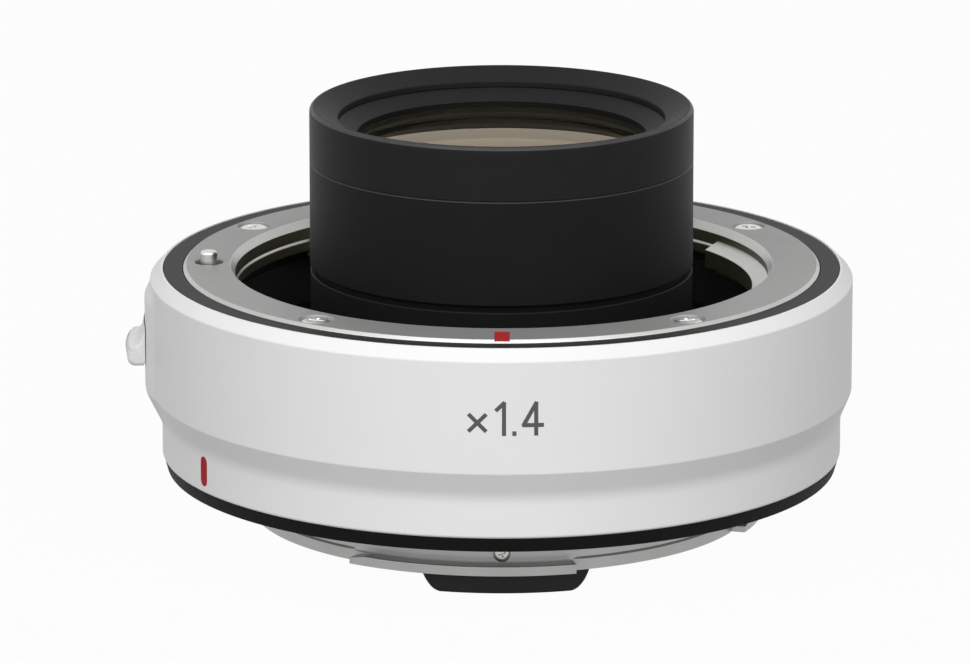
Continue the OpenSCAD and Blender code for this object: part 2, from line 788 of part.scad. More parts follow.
module cavity_floor() {
    color("#161616") difference() {
        ring(base_r + loose_fit, cavity_r - running_fit, cavity_step_z, cavity_z);
        intersection() {
            ring(front_block_in - loose_fit, front_block_out + loose_fit, cavity_step_z - cut,
                cavity_z + cut);
            contact_prism(cavity_step_z - 2 * cut, cavity_z + 2 * cut, loose_fit);
        }
        for (a = floor_screw_angles)
            place(a, floor_screw_r, cavity_z) small_screw_seat();
    }
}

module cavity_floor_screws() {
    color("dimgray") for (a = floor_screw_angles)
        place(a, floor_screw_r, cavity_z - head_sunk) small_screw();
}

function contact_at(i) = contact_angle + (i - (contact_count + 1) / 2) * pitch_angle;

module front_contact_block() {
    color("#1a1a1a") difference() {
        intersection() {
            ring(front_block_in, front_block_out, board_top, front_block_top);
            contact_prism(board_top - cut, front_block_top + cut, 0);
        }
        for (i = [1:contact_count])
            place(contact_at(i), contact_r) {
                translate([0, 0, pin_pocket_z])
                    cylinder(r = pin_r + running_fit, h = front_block_top - pin_pocket_z + cut, $fn = 24);
                translate([0, 0, pin_pocket_z])
                    cylinder(r = pin_collar_r + running_fit, h = pin_shoulder_z - pin_pocket_z, $fn = 24);
            }
    }
}

// Sprung plunger with a rounded tip and a collar that keeps it in the block
module contact_pin(i) {
    color("goldenrod") place(contact_at(i), contact_r) rotate_extrude($fn = 24) polygon(concat(
        [[0, pin_collar_top - pin_collar_h], [pin_collar_r, pin_collar_top - pin_collar_h],
         [pin_collar_r, pin_collar_top], [pin_r, pin_collar_top]],
        arc([0, front_block_top + pin_proud - pin_r], pin_r, 0, 90, 4)));
}

module circuit_board() {
    color("darkgreen") difference() {
        ring(board_in, board_out, board_z, board_top);
        for (a = board_screw_angles)
            place(a, floor_screw_r, board_top) small_screw_seat();
        for (a = floor_screw_angles)
            place(a, floor_screw_r, board_z - cut) cylinder(r = boss_r + loose_fit, h = board_t + 2 * cut);
    }
}

module board_chips() {
    chip_angles = [100, 125, 225];
    chip_sizes = [[4, 6], [2.4, 3], [4, 4]];
    chip_r = (board_in + board_out) / 2;
    color("#101010") for (i = [0:2])
        place(chip_angles[i], chip_r, board_top + chip_h / 2)
            cube([chip_sizes[i][0], chip_sizes[i][1], chip_h], center = true);
}

module board_screws() {
    color("silver") for (a = board_screw_angles)
        place(a, floor_screw_r, board_top - head_sunk) small_screw();
}

// Passage for the flat cable through the chassis floor and the base flange
module flex_slot() {
    slot_h = floor_z + base_flange_t + 2 * cut - chassis_z;
    place(contact_angle, contact_r - flex_gap, chassis_z - cut)
        translate([0, -flex_w / 2 - loose_fit, 0])
            cube([flex_t + 2 * flex_gap, flex_w + 2 * loose_fit, slot_h]);
}

module flex_cable() {
    color("peru") place(contact_angle, contact_r, rear_block_top)
        translate([0, -flex_w / 2, 0]) cube([flex_t, flex_w, board_z - rear_block_top]);
}

module mount_shim() {
    color("gold") difference() {
        ring(relief_r, flange_r - loose_fit, rear_flange_t, chassis_z);
        for (a = rear_screw_angles)
            place(a, screw_r, 0) cylinder(d = mount_screw_d + loose_fit, h = chassis_z + cut);
    }
}

// Rear lug with an oblique nose and a ramp where it first slides under a tab
module rear_lug(from, to) {
    root_r = (neck_bore_r + neck_r) / 2;
    nose_angle = 40;
    ramp_angle = 12;
    ramp_l = 2;
    lip_h = lug_t * 0.55;
    difference() {
        sector([[root_r, lug_low], [lug_r, lug_low], [lug_r, lug_low + lug_t], [root_r, lug_low + lug_t]],
            from, to);
        place(from, neck_r, lug_low - cut) rotate([0, 0, nose_angle])
            translate([0, -lug_r, 0]) cube([lug_r, lug_r, lug_t + 2 * cut]);
        place(from, neck_r + neck_rim_w, lug_low + lip_h) rotate([ramp_angle, 0, 0])
            translate([0, -lug_r / 2, 0]) cube([lug_r, lug_r / 2 + ramp_l, 2 * lug_t]);
    }
}

// Raised rim round the end of the neck, between two lugs
module rear_rim(from, to) {
    root_r = (neck_bore_r + neck_r) / 2;
    rim_r = neck_r + neck_rim_w;
    rim_low = lug_low + neck_lip;
    rim_top = neck_end + neck_rim_h;
    sector([[root_r, rim_low], [rim_r, rim_low], [rim_r, rim_top - neck_rim_w],
            [root_r, rim_top - neck_rim_w + rim_r - root_r]], from, to);
}

module rear_mount() {
    lock_hole_h = rear_flange_t - lock_hole_floor;
    color("silver") difference() {
        union() {
            turned([
                [neck_bore_r, rear_flange_t], [flange_r, rear_flange_t], [flange_r, 0], [relief_r, 0],
                [relief_r, relief_h], [neck_r, relief_h], [neck_r, neck_end], [neck_bore_r, neck_end]]);
            for (i = [0:2]) {
                following = rear_lugs[(i + 1) % 3][0];
                rear_lug(rear_lugs[i][0], rear_lugs[i][1]);
                rear_rim(rear_lugs[i][1] - neck_rim_overlap,
                    following + neck_rim_overlap + (i == 2 ? 360 : 0));
            }
        }
        for (a = rear_screw_angles)
            place(a, screw_r, 0) mirror([0, 0, 1])
                screw_seat(mount_screw_d, mount_head_r, mount_screw_l);
        place(lever_side, lock_r, -cut) cylinder(r = lock_hole_r, h = lock_hole_h + cut);
        place(0, neck_r, neck_screw_z) rotate([0, 90, 0])
            screw_seat(neck_screw_d, neck_head_r, small_screw_l);
    }
}

module rear_mount_screws() {
    color("gainsboro") for (a = rear_screw_angles)
        place(a, screw_r, head_sunk) mirror([0, 0, 1])
            screw(mount_screw_d, mount_head_r, mount_screw_l);
}

module seal_ring() {
    seal_out = rear_r - edge_break;
    root_r = shell_in - slip_fit;
    lip_w = 0.3;
    bulge_h = 0.5;
    color("#0c0c0c") turned([
        [seal_in, -seal_drop / 2], [seal_in + lip_w, -seal_drop], [seal_lip_r, -seal_drop],
        [seal_out - edge_break, shell_bottom - bulge_h], [seal_out, shell_bottom], [root_r, shell_bottom],
        [root_r, chassis_z], [seal_in, chassis_z]]);
}

module rear_contact_block() {
    corner = contact_block_corner;
    color("#151515") difference() {
        intersection() {
            ring(rear_block_in, rear_block_out, -contact_block_drop - cut, rear_block_top);
            place(contact_angle, 0) rotate([90, 0, 90]) linear_extrude(body_r) union() {
                translate([-block_half_w, corner - contact_block_drop])
                    square([2 * block_half_w, contact_block_drop - corner + rear_block_top + cut]);
                translate([corner - block_half_w, -contact_block_drop])
                    square([2 * (block_half_w - corner), contact_block_drop]);
                for (side = [-1, 1])
                    translate([side * (block_half_w - corner), corner - contact_block_drop])
                        circle(r = corner);
            }
        }
        for (i = [1:contact_count])
            place(contact_at(i), contact_r, -contact_block_drop - cut)
                cylinder(r = contact_pad_r, h = contact_pad_sunk + contact_pad_t + cut, $fn = 24);
        place(0, neck_r, neck_screw_z) rotate([0, 90, 0])
            screw_seat(neck_screw_d, neck_head_r, small_screw_l);
    }
}

module rear_contact_pads() {
    color("gold") for (i = [1:contact_count])
        place(contact_at(i), contact_r, contact_pad_sunk - contact_block_drop)
            cylinder(r = contact_pad_r, h = contact_pad_t, $fn = 24);
}

module contact_block_screw() {
    color("gainsboro") place(0, neck_r - head_sunk, neck_screw_z) rotate([0, 90, 0])
        screw(neck_screw_d, neck_head_r, small_screw_l);
}

module rear_cover() {
    post_z = cover_z + cover_t / 2;
    color("#131313") difference() {
        union() {
            ring(rear_opening_r, cover_r, cover_z, cover_z + cover_t);
            ring(cover_hub_in, cover_hub_out, post_z, chassis_z);
            for (a = cover_screw_angles)
                place(a, cover_screw_r, post_z) cylinder(r = cover_post_r, h = chassis_z - post_z);
        }
        intersection() {
            ring(rear_block_in - loose_fit, body_r, cover_z - cut, chassis_z - cut);
            contact_prism(cover_z - 2 * cut, chassis_z, loose_fit);
        }
        for (a = cover_screw_angles)
            place(a, cover_screw_r, cover_z) mirror([0, 0, 1])
                screw_seat(small_screw_d, small_head_r, chassis_z - cover_z);
    }
}

module rear_cover_screws() {
    color("dimgray") for (a = cover_screw_angles)
        place(a, cover_screw_r, cover_z + head_sunk) mirror([0, 0, 1])
            screw(small_screw_d, small_head_r, chassis_z - cover_z + cover_grip);
}

// Thumb lever: a hollow finger face over a rounded nose, on a stem through the shell
module release_lever() {
    back = lever_pad_r + lever_gap;
    nose = lever_pad_r + lever_rise;
    nose_round = 0.3;
    nose_turn = 80;
    nose_lift = 1.6;
    foot_round = 0.4;
    scoop = [[0.8, 0.34], [1.3, 0.6], [1.65, 1.05]];
    stem_grip = 0.5;
    nose_z = lever_z + nose_lift;
    color("white") difference() {
        union() {
            sector(concat(
                [[back, lever_z]],
                arc([nose - foot_round, lever_z + foot_round], foot_round, -90, 0),
                arc([nose - nose_round, nose_z], nose_round, 0, nose_turn),
                [for (point = scoop) [nose - point[0], nose_z + point[1]]],
                [[back, lever_z + lever_h]]),
                lever_side - lever_angle / 2, lever_side + lever_angle / 2);
            place(lever_side, tongue_out, stem_z)
                translate([0, -stem_w / 2, 0]) cube([back + stem_grip - tongue_out, stem_w, stem_h]);
        }
        lever_screw_hole();
    }
}

module lever_screw_hole() {
    place(lever_side, tongue_out - slider_t, stem_z + stem_h / 2) rotate([0, -90, 0])
        small_screw_seat();
}

module lever_screw() {
    color("silver") place(lever_side, tongue_out - slider_t + head_sunk, stem_z + stem_h / 2)
        rotate([0, -90, 0]) small_screw();
}

// Bracket: an arm round the lock pin and a tongue behind the lever's stem
module lever_slider() {
    arm_in = lock_r - pin_flange_r;
    color("gainsboro") difference() {
        union() {
            place(lever_side, arm_in, slider_z)
                translate([0, -slider_w / 2, 0]) cube([tongue_out - arm_in, slider_w, slider_t]);
            place(lever_side, tongue_out - slider_t, slider_z)
                translate([0, -slider_w / 2, 0]) cube([slider_t, slider_w, tongue_h]);
        }
        place(lever_side, lock_r, slider_z - cut)
            cylinder(r = lock_pin_r + running_fit, h = slider_t + 2 * cut);
        lever_screw_hole();
    }
}

module lock_pin() {
    tip_round = 0.25;
    color("gainsboro") place(lever_side, lock_r) rotate_extrude() polygon(concat(
        [[0, pin_foot_z], [pin_foot_r, pin_foot_z], [pin_foot_r, pin_flange_z], [pin_flange_r, pin_flange_z],
         [pin_flange_r, slider_z], [lock_pin_r, slider_z]],
        arc([lock_pin_r - tip_round, lock_top - tip_round], tip_round, 0, 90, 4),
        [[0, lock_top]]));
}

// Compression spring under the pin's flange, as one unbroken helical tube
spring_low = spring_floor + wire_r + coil_end_gap;
spring_high = pin_flange_z - wire_r - coil_end_gap;
coil_pitch = (spring_high - spring_low) / coil_turns;
coil_count = coil_turns * coil_rings;
coil_points = [for (k = [0:coil_count], s = [0:coil_sides - 1])
    let (turn = 360 * k / coil_rings, side = 360 * s / coil_sides, r = coil_r + wire_r * cos(side))
    [r * cos(turn), r * sin(turn), spring_low + coil_pitch * k / coil_rings + wire_r * sin(side)]];
coil_walls = [for (k = [0:coil_count - 1], s = [0:coil_sides - 1])
    let (a = k * coil_sides + s, b = k * coil_sides + (s + 1) % coil_sides)
    each [[a, a + coil_sides, b], [b, a + coil_sides, b + coil_sides]]];
coil_ends = [for (s = [1:coil_sides - 2])
    let (last = coil_count * coil_sides)
    each [[0, s, s + 1], [last, last + s + 1, last + s]]];
coil_gap = min([for (k = [0:coil_rings], a = [0:coil_sides - 1], b = [0:coil_sides - 1])
    norm(coil_points[(k + coil_rings) * coil_sides + a] - coil_points[k * coil_sides + b])]);
echo(least_gap_of_the_spring_to_itself = coil_gap);

module lock_spring() {
    color("silver") place(lever_side, lock_r) polyhedron(coil_points, concat(coil_walls, coil_ends));
}

outer_shell();
front_trim_ring();
front_mount_ring();
front_mount_screws();
mount_leaf_springs();
front_index_mark();
body_index_mark();
chassis();
front_barrel();
barrel_cap();
barrel_base();
barrel_base_screws();
front_retaining_ring();
lens_1();
lens_2();
lens_3();
lens_4();
lens_5();
lens_6();
lens_7();
inner_lens_tube();
middle_retaining_ring();
lens_spacer();
rear_retaining_ring();
cavity_floor();
cavity_floor_screws();
front_contact_block();
for (i = [1:contact_count])
    contact_pin(i);
circuit_board();
board_chips();
board_screws();
flex_cable();
mount_shim();
rear_mount();
rear_mount_screws();
seal_ring();
rear_contact_block();
rear_contact_pads();
contact_block_screw();
rear_cover();
rear_cover_screws();
release_lever();
lever_slider();
lever_screw();
lock_pin();
lock_spring();
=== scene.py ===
"""Looks of a camera teleconverter, built round its packed CAD model."""
import math

import bmesh
import bpy
from mathutils import Matrix, Vector


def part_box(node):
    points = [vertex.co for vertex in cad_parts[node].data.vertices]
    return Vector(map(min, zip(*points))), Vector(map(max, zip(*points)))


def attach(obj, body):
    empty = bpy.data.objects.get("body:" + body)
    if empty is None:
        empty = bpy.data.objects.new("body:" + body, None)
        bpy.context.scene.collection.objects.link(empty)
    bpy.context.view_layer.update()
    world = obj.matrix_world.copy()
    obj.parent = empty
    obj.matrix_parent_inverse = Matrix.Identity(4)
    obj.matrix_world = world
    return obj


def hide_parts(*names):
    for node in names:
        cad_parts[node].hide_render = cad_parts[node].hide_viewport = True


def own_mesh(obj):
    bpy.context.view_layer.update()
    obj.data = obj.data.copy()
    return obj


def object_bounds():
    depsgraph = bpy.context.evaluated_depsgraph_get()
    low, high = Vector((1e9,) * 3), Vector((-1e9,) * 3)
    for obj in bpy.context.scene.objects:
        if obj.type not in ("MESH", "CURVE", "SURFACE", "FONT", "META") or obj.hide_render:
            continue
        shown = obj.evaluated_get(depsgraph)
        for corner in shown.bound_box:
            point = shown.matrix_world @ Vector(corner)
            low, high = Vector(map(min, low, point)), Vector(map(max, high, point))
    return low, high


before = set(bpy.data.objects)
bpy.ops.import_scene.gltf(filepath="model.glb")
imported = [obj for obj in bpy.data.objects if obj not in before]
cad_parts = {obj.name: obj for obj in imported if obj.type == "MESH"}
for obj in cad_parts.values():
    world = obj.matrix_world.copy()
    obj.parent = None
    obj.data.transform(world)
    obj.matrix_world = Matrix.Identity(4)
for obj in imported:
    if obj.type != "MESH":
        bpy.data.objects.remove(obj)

bl_info = {
    "name": "Teleconverter looks",
    "version": (1, 0, 0),
    "blender": (4, 5, 0),
    "location": "3D View > Sidebar > Converter",
    "description": "Dresses the CAD model of a camera teleconverter",
    "category": "Object",
}

CAD_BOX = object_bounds()
MM = 0.001

# Points round turned pieces of different sizes, and along curves
TURNS = 288
SHELL_TURNS = 720
LENS_TURNS = 128
HOLE_TURNS = 96
SCREW_TURNS = 72
PIN_TURNS = 64
CONTACT_TURNS = 32
ARC_STEPS = 6
LENS_STEPS = 24
LEVER_STEPS = 10
BLOCK_STEPS = 120

# Spacing of the points that keep the faces beside a round flat, and the slack of a comparison
SUPPORT = 0.03 * MM
TINY = 0.001 * MM

# Distance at which points count as one, and the most of an edge that one round may take
MERGE = 1e-8
ROUND_SHARE = 0.45

# Gaps between pieces that fit into each other, and round a screw or an inlay
FIT = 0.05 * MM
CLEAR = 0.02 * MM

# How far a cutter stands out of the face that it cuts, and how deep a hole's cutter goes
OVER = 1.0 * MM
HOLE_DEPTH = 4.0 * MM

# Angles in degrees from the front, towards +X
FRONT_SCREWS = (-37.6, 37.6, 121.6, -121.6)
REAR_SCREWS = (45, 135, 225, 315)
FRONT_TABS = ((-33, 22), (79.5, 124), (181, 226.5))
REAR_LUGS = ((-35, 16), (66, 120), (168, 220))
LUG_MARGIN = 0.6
LEVER_SIDE = -90

# Depth of the screw heads under their faces, and the turn of each cross in degrees
HEAD_SUNK = 0.1 * MM
FIRST_TWIST = 17
NEXT_TWIST = 53

CONTACTS = range(1, 13)
WHITE = (1.0, 1.0, 1.0, 1.0)
FLIP = Matrix.Rotation(math.pi, 4, "X")
OUTWARD = Matrix.Rotation(math.pi / 2, 4, "Y")


# Measures taken from the CAD model

def top(name):
    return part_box(name)[1].z


def low(name):
    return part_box(name)[0].z


def reach(name):
    """Outer radius of a turned node, read along Y, where nothing else stands out."""
    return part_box(name)[1].y


def middle_of(name):
    """Middle of a node's box."""
    corner_low, corner_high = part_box(name)
    return (corner_low + corner_high) / 2


def eased(x):
    """Smooth run from 0 to 1."""
    x = min(1.0, max(0.0, x))
    return x * x * (3 - 2 * x)


def sag(roc, radius):
    """Height of a sphere's cap at a distance from its axis."""
    return abs(roc) - math.sqrt(roc * roc - radius * radius)


# Properties

def number(description, value, **settings):
    """Plain number."""
    return bpy.props.FloatProperty(name=description, description=description, default=value, **settings)


def length(description, value):
    """Length, given in millimetres."""
    return number(description, value * MM, unit="LENGTH", precision=5)


def turn(description, degrees):
    """Angle, given in degrees."""
    return number(description, math.radians(degrees), subtype="ANGLE")


def share(description, value):
    """Part of a whole."""
    return number(description, value, min=0.0, max=1.0, subtype="FACTOR")


def linear(hex_colour):
    """Linear red, green, blue and alpha of an sRGB hex value."""
    parts = [int(hex_colour[i:i + 2], 16) / 255 for i in (1, 3, 5)]
    return [c / 12.92 if c <= 0.04045 else ((c + 0.055) / 1.055) ** 2.4 for c in parts] + [1.0]


def paint(description, hex_colour):
    """Colour, given as an sRGB hex value."""
    return bpy.props.FloatVectorProperty(name=description, description=description, size=4, min=0.0, max=1.0,
                                         default=linear(hex_colour), subtype="COLOR")


class ShellSizes(bpy.types.PropertyGroup):
    """Sizes of the white shell"""
    radius: length("Outside of the shell", reach("outer_shell") / MM)
    rear_radius: length("Outside of the slimmer rear end", 34.5)
    inner_radius: length("Bore of the shell", 33.4)
    step_low: length("Where the sloped band starts", 5.0)
    step_top: length("Where the sloped band ends", 7.65)
    step_hollow: length("Hollow round at the foot of the sloped band", 3.6)
    step_edge: length("Softening of the sloped band's upper edge", 0.5)
    bevel: length("Width and height of the front rim's bevel", 1.1)
    edge: length("Softening of the enamelled edges", 0.3)
    rebate_radius: length("Seat of the trim ring", 34.3)
    rebate_edge: length("Edge break at that seat", 0.05)
    row: length("Spacing of the rows of points", 0.25)
    bore_wall: length("Wall at the bore that the pad leaves as it is", 1.0)
    pad_radius: length("Outside of the raised pad behind the lever", -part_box("outer_shell")[0].x / MM)
    pad_half: turn("Half of the pad's width", 10)
    pad_blend: turn("Width over which the pad's sides run out", 5)
    pad_ramp: length("Height over which the pad's upper end runs out", 1.95)
    pad_low: length("Where the pad's lower slope starts", 7.75)
    pad_foot: length("Where that slope meets the rear end", 4.34)
    pad_soft: length("Softening of the pad's edges", 0.12)
    pad_fall: length("Fall of the pad's top towards the back, per radian", 17.0)
    slot_width: length("Width of the slot for the lever's stem", 3.7)
    slot_low: length("Lower end of that slot", 8.95)
    slot_top: length("Upper end of that slot", 12.85)
    slot_reach: length("How far that slot's cutter reaches either way", 4.0)


class RingSizes(bpy.types.PropertyGroup):
    """Sizes of the trim ring and the rubber seal"""
    trim_edge: length("Edges of the trim ring", 0.12)
    seal_bore: length("Bore of the seal", 32.7)
    seal_slant: length("Width of the slant inside its lip", 0.3)
    seal_drop: length("How far its lip bulges below the CAD model's", 0.07)
    seal_setback: length("Width and height of the slope outside its lip", 0.5)
    seal_edge: length("Softening of its inner edge", 0.12)
    seal_round: length("Softening of its outer edges", 0.2)
    seal_gap: length("How far it lies inside the shell's edge", 0.12)


class MountSizes(bpy.types.PropertyGroup):
    """Sizes of the two bayonets"""
    throat: length("Bore of the front mount", 27.0)
    throat_depth: length("Length of the throat's wall", 3.25)
    throat_edge: length("Softening of the throat's edges", 0.06)
    bevel_width: length("Width of the bevel at the throat", 0.47)
    bevel_height: length("Height of the bevel at the throat", 0.8)
    ledge: length("Step low on the throat's wall", 0.12)
    ledge_height: length("Height of that step", 1.0)
    ledge_slope: length("Height of the slope above it", 0.24)
    ledge_edge: length("Softening of that slope", 0.03)
    ledge_round: length("Softening of the step's lower edge", 0.08)
    face: length("Edge of the front mount's face", 32.25)
    face_bevel: length("Bevel at that edge", 0.3)
    edge: length("Edge break of the turned metal", 0.05)
    seat: length("Underside of the front mount's flange", 17.9)
    flange_gap: length("Gap between that flange and the trim ring", 0.15)
    collar: length("Wall round the throat", 1.0)
    tab: length("Inner end of the bayonet tabs", 25.4)
    tab_depth: length("From the front face to the tabs' underside", 4.05)
    tab_drop: length("From the front face to a tab's top at the wall", 1.5)
    tab_slope: length("Fall of a tab's top towards its inner end", 0.7)
    tab_root: length("How far a tab runs into the wall", 0.8)
    tab_edge: length("Softening of the tabs' edges", 0.12)
    screw_circle: length("Radius on which the mount screws sit", 30.0)
    screw_head: length("Radius of a mount screw's head", 1.6)
    screw_thread: length("Radius of its thread", 1.0)
    screw_length: length("Length of a mount screw", 6.0)
    screw_seat: length("Depth of the straight part of its seat", 0.3)
    screw_cone: length("Depth at which its seat's cone ends", 0.95)
    front_mouth: length("Bevel at the front screws' seats", 0.14)
    rear_mouth: length("Bevel at the rear screws' seats", 0.1)
    lock_circle: length("Radius on which the lock pin sits", 29.65)
    lock_recess: length("Radius of the recess round the lock pin", 1.45)
    lock_recess_depth: length("Depth of that recess", 0.8)
    lock_mouth: length("Bevel at that recess", 0.1)
    lock_bore: length("Radius of the bore for the lock pin", 0.95)
    mark_round: length("Corners of the red mark on the front face", 0.2)
    neck: length("Outside of the rear neck", 25.25)
    neck_bore: length("Inside of the rear neck", 24.2)
    neck_edge: length("Softening of the neck's edges", 0.1)
    neck_rim: length("How far the rim stands out of the neck", 0.2)
    rim_height: length("Height of that rim", 1.35)
    rim_edge: length("Softening of that rim", 0.06)
    rim_root: length("Softening of that rim's root", 0.04)
    rim_kept: share("What is left of that rim under the lugs", 0.05)
    lug: length("Outside of the rear lugs", 26.8)
    lug_rise: length("How far the lugs lie in front of the neck's end", 0.05)
    lug_thickness: length("Thickness of the rear lugs", 1.0)
    lug_root: length("How far a lug runs into the neck", 0.5)
    lug_edge: length("Softening of a lug's rear edge", 0.1)
    lug_shoulder: length("Softening of a lug's front edge", 0.12)
    lug_nose: turn("Slant of a lug's leading end", 10)
    lug_ramp: turn("Slope of the ramp on that end", 12)
    lug_ramp_start: share("Where that ramp starts in the thickness", 0.55)
    relief: length("Outside of the groove at the neck's root", 27.3)
    relief_depth: length("Depth of that groove", 0.35)
    lock_hole: length("Radius of the hole for a camera's lock pin", 1.5)
    lock_hole_depth: length("Depth of that hole", 1.8)
    neck_screw_head: length("Radius of the neck screw's head", 0.8)
    neck_screw_thread: length("Radius of its thread", 0.5)
    neck_screw_length: length("Length of the neck screw", 3.0)
    neck_seat: length("Radius of its seat", 0.84)
    neck_seat_depth: length("Depth of its seat", 0.6)


class BarrelSizes(bpy.types.PropertyGroup):
    """Sizes of the black barrel"""
    radius: length("Outside of the barrel", reach("front_barrel") / MM)
    groove: length("Depth of the groove at the foot", 0.6)
    foot_rise: length("Height of the foot over the front mount", 0.13)
    foot_edge: length("Softening of the foot's edge", 0.12)
    parting: length("Width of the line under the cap", 0.06)
    # Painted highlight: this bevel is drawn in a lighter grey
    parting_bevel: length("Bright turned bevel under that line", 0.13)
    cap_edge: length("Edge break of the cap over that line", 0.03)
    # Painted highlight: this round edge is drawn in a lighter grey, down to the height below
    rim_edge: length("Worn round edge of the front rim", 0.40)
    rim_round: length("Softening of that edge's outside", 0.5)
    rim_crest: length("Softening of that edge's top", 0.35)
    rim_bore: length("Bore of the front rim", 16.5)
    rim_drop: length("Fall of the rim towards its bore", 1.25)
    rim_lip: length("Height of the rim's bore", 0.6)
    rim_inner: length("Softening of that bore's upper edge", 0.2)
    rim_lower: length("Softening of that bore's lower edge", 0.06)
    # Height of the painted highlight below the rim's edge
    painted_highlight_height: length("How far the wear reaches below the edge", 0.05)
    ring_bore: length("Bore of the ring in front of the first lens", 14.6)
    ring_lip: length("Height of that bore", 0.6)
    ring_edge: length("Edge breaks of that ring", 0.05)
    lens_gap: length("Gap between that ring and the lens", 0.15)
    base_edge: length("Edge break on top of the base", 0.07)
    base_flange: length("Thickness of the base's flange", 1.4)
    undercut: length("Depth of the groove behind the rim", 0.45)
    lens_cell: length("Bore that holds the front lens", 15.85)
    lens_seat: length("Bore of the front lens's seat", 14.6)
    lens_seat_height: length("Thickness of that seat", 1.6)
    socket: length("Spigot under the cap", 18.4)
    tube_hole: length("Bore round the inner lens tube", 16.9)


class ContactSizes(bpy.types.PropertyGroup):
    """Sizes of the contact pins and the rear contact block"""
    pin: length("Radius of a contact pin", 0.34)
    pin_collar: length("Radius of its collar", 0.46)
    pin_collar_height: length("Height of its collar", 0.5)
    pin_dome: share("Height of its dome against its radius", 0.6)
    inner: length("Inside of the rear block", 19.9)
    outer: length("Outside of the rear block", 24.1)
    shoulder: length("Where its rear face starts", 22.7)
    half: length("Half of the rear block's width", 8.42)
    end_round: length("Softening of its two ends", 0.22)
    corner_height: length("Height of its lower corners", 2.5)
    front_corner: length("Width of those corners in front", 2.0)
    rear_corner: length("Width of those corners behind", 1.22)
    front_power: number("Fullness of the corners in front", 1.6)
    rear_power: number("Fullness of the corners behind", 1.25)
    front_edge: length("Softening of its lower front edge", 0.3)
    rear_edge: length("Softening of its lower rear edge", 0.4)
    block_turn: turn("Turn of the rear block about the axis", 0.95)
    pocket: length("Radius of the pocket round a pad", 0.46)


class ReleaseSizes(bpy.types.PropertyGroup):
    """Sizes of the release lever and the lock pin"""
    travel: length("How far the lever slides to the rear", 1.4)
    gap: length("Gap between the lever and its pad", 0.03)
    half_width: turn("Half of the lever's width", 7)
    lip: length("From the lever's underside to its outer edge", 1.9)
    end_round: length("Rounding of the lever's two ends", 0.45)
    foot_round: length("Rounding under the nose", 0.8)
    foot_slant: length("How far the nose's foot stands back", 0.25)
    nose_round: length("Rounding over the nose", 0.3)
    root_round: length("Rounding of the lower edge at the pad", 0.1)
    dish_start: length("From the nose to the finger dish", 0.7)
    dish_bend: length("How close to the pad the dish turns upwards", 0.4)
    dish_lift: length("How far it has risen there", 0.15)
    dish_rise: length("How far the dish runs up the pad", 0.6)
    dish_end: length("How close to the pad the dish ends", 0.02)
    stem_in: length("Inner end of the lever's stem", 33.05)
    stem_over: length("How far the stem runs into the lever", 0.5)
    stem_half: length("Half of the stem's width", 1.6)
    stem_low: length("From the lever's underside to the stem", 0.1)
    stem_tall: length("Height of the stem", 2.0)
    pin: length("Radius of the lock pin", 0.85)
    pin_round: length("Rounding of its tip", 0.28)
    pin_tail: length("Radius of its tail", 0.7)
    pin_collar: length("Radius of its collar", 1.35)
    pin_collar_height: length("Height of its collar", 0.8)


class MarkingSizes(bpy.types.PropertyGroup):
    """Sizes of the numerals on the shell"""
    base: length("Lower end of the numerals", 11.68)
    tall: length("Height of the numerals", 3.17)
    stroke: length("Width of the strokes", 0.4)
    overrun: share("How far a stroke runs past its ends, in widths", 0.3)
    start: turn("Angle of the marking's first stroke", -5.17)
    spacing: length("Spacing of the points along a stroke", 0.15)
    sunk: length("How far the ink goes into the shell", 0.02)
    film: length("Thickness of the ink", 0.008)
    stroke_lift: length("How much thicker each next stroke is", 0.002)
    bend_lift: length("How much thicker it is after each bend", 0.003)


class FinishColours(bpy.types.PropertyGroup):
    """Colours of the finishes"""
    enamel: paint("White enamel", "#ECECEC")
    charcoal: paint("Charcoal plastic", "#232323")
    plate: paint("Plated metal", "#959594")
    # Painted shade: the plating made darker and olive for the inside of the throat, with a painted warm
    # reflection
    throat: paint("Plated metal inside the throat", "#7C7A62")
    bright: paint("Polished bevels", "#BDBDBB")
    neck: paint("Plated metal of the rear neck", "#A6A6A5")
    steel: paint("Steel", "#D6D5D2")
    black_steel: paint("Blackened steel", "#35353A")
    barrel: paint("Black paint of the barrel", "#161617")
    # Painted light: the cap's paint is lighter than the barrel's, because the top of the barrel catches more
    # light
    cap: paint("Black paint of the cap", "#212122")
    # Painted shade: darker paint for the foot, the groove and the front ring's bore
    foot: paint("Black paint of the foot", "#131314")
    cavity: paint("Black flock", "#0A0A0A")
    # Painted highlight: a lighter grey for the barrel's turned edges
    painted_edge_highlight: paint("Worn edge", "#353536")
    moulding: paint("Moulded black", "#131314")
    chassis: paint("Black paint of the casting", "#1C1C1C")
    # Painted light: the black anodising is lightened and made olive for the light that comes in through the
    # lenses
    anodised: paint("Black anodising", "#26251F")
    rubber: paint("Rubber", "#080809")
    red: paint("Red of the index marks", "#AE3035")
    ink: paint("Ink of the numerals", "#4A4B4D")
    gold: paint("Gold of the contacts", "#E2B96B")
    board: paint("Solder mask", "#0E4A2A")
    chip: paint("Chip packages", "#1A1A1C")
    film: paint("Film of the flat cable", "#B4772A")
    brass: paint("Brass", "#C9A24D")
    # Painted light: the lens edges are lightened to olive grey for the light that comes in through the
    # lenses
    lens_edge: paint("Painted lens edges", "#5A584C")
    glass: paint("Body of the lenses", "#9E9B88")
    glass_index: number("Refractive index of the lenses", 1.52)
    coating: number("Thickness of the lens coating in nanometres", 112.0)
    coating_index: number("Refractive index of the coating", 1.22)


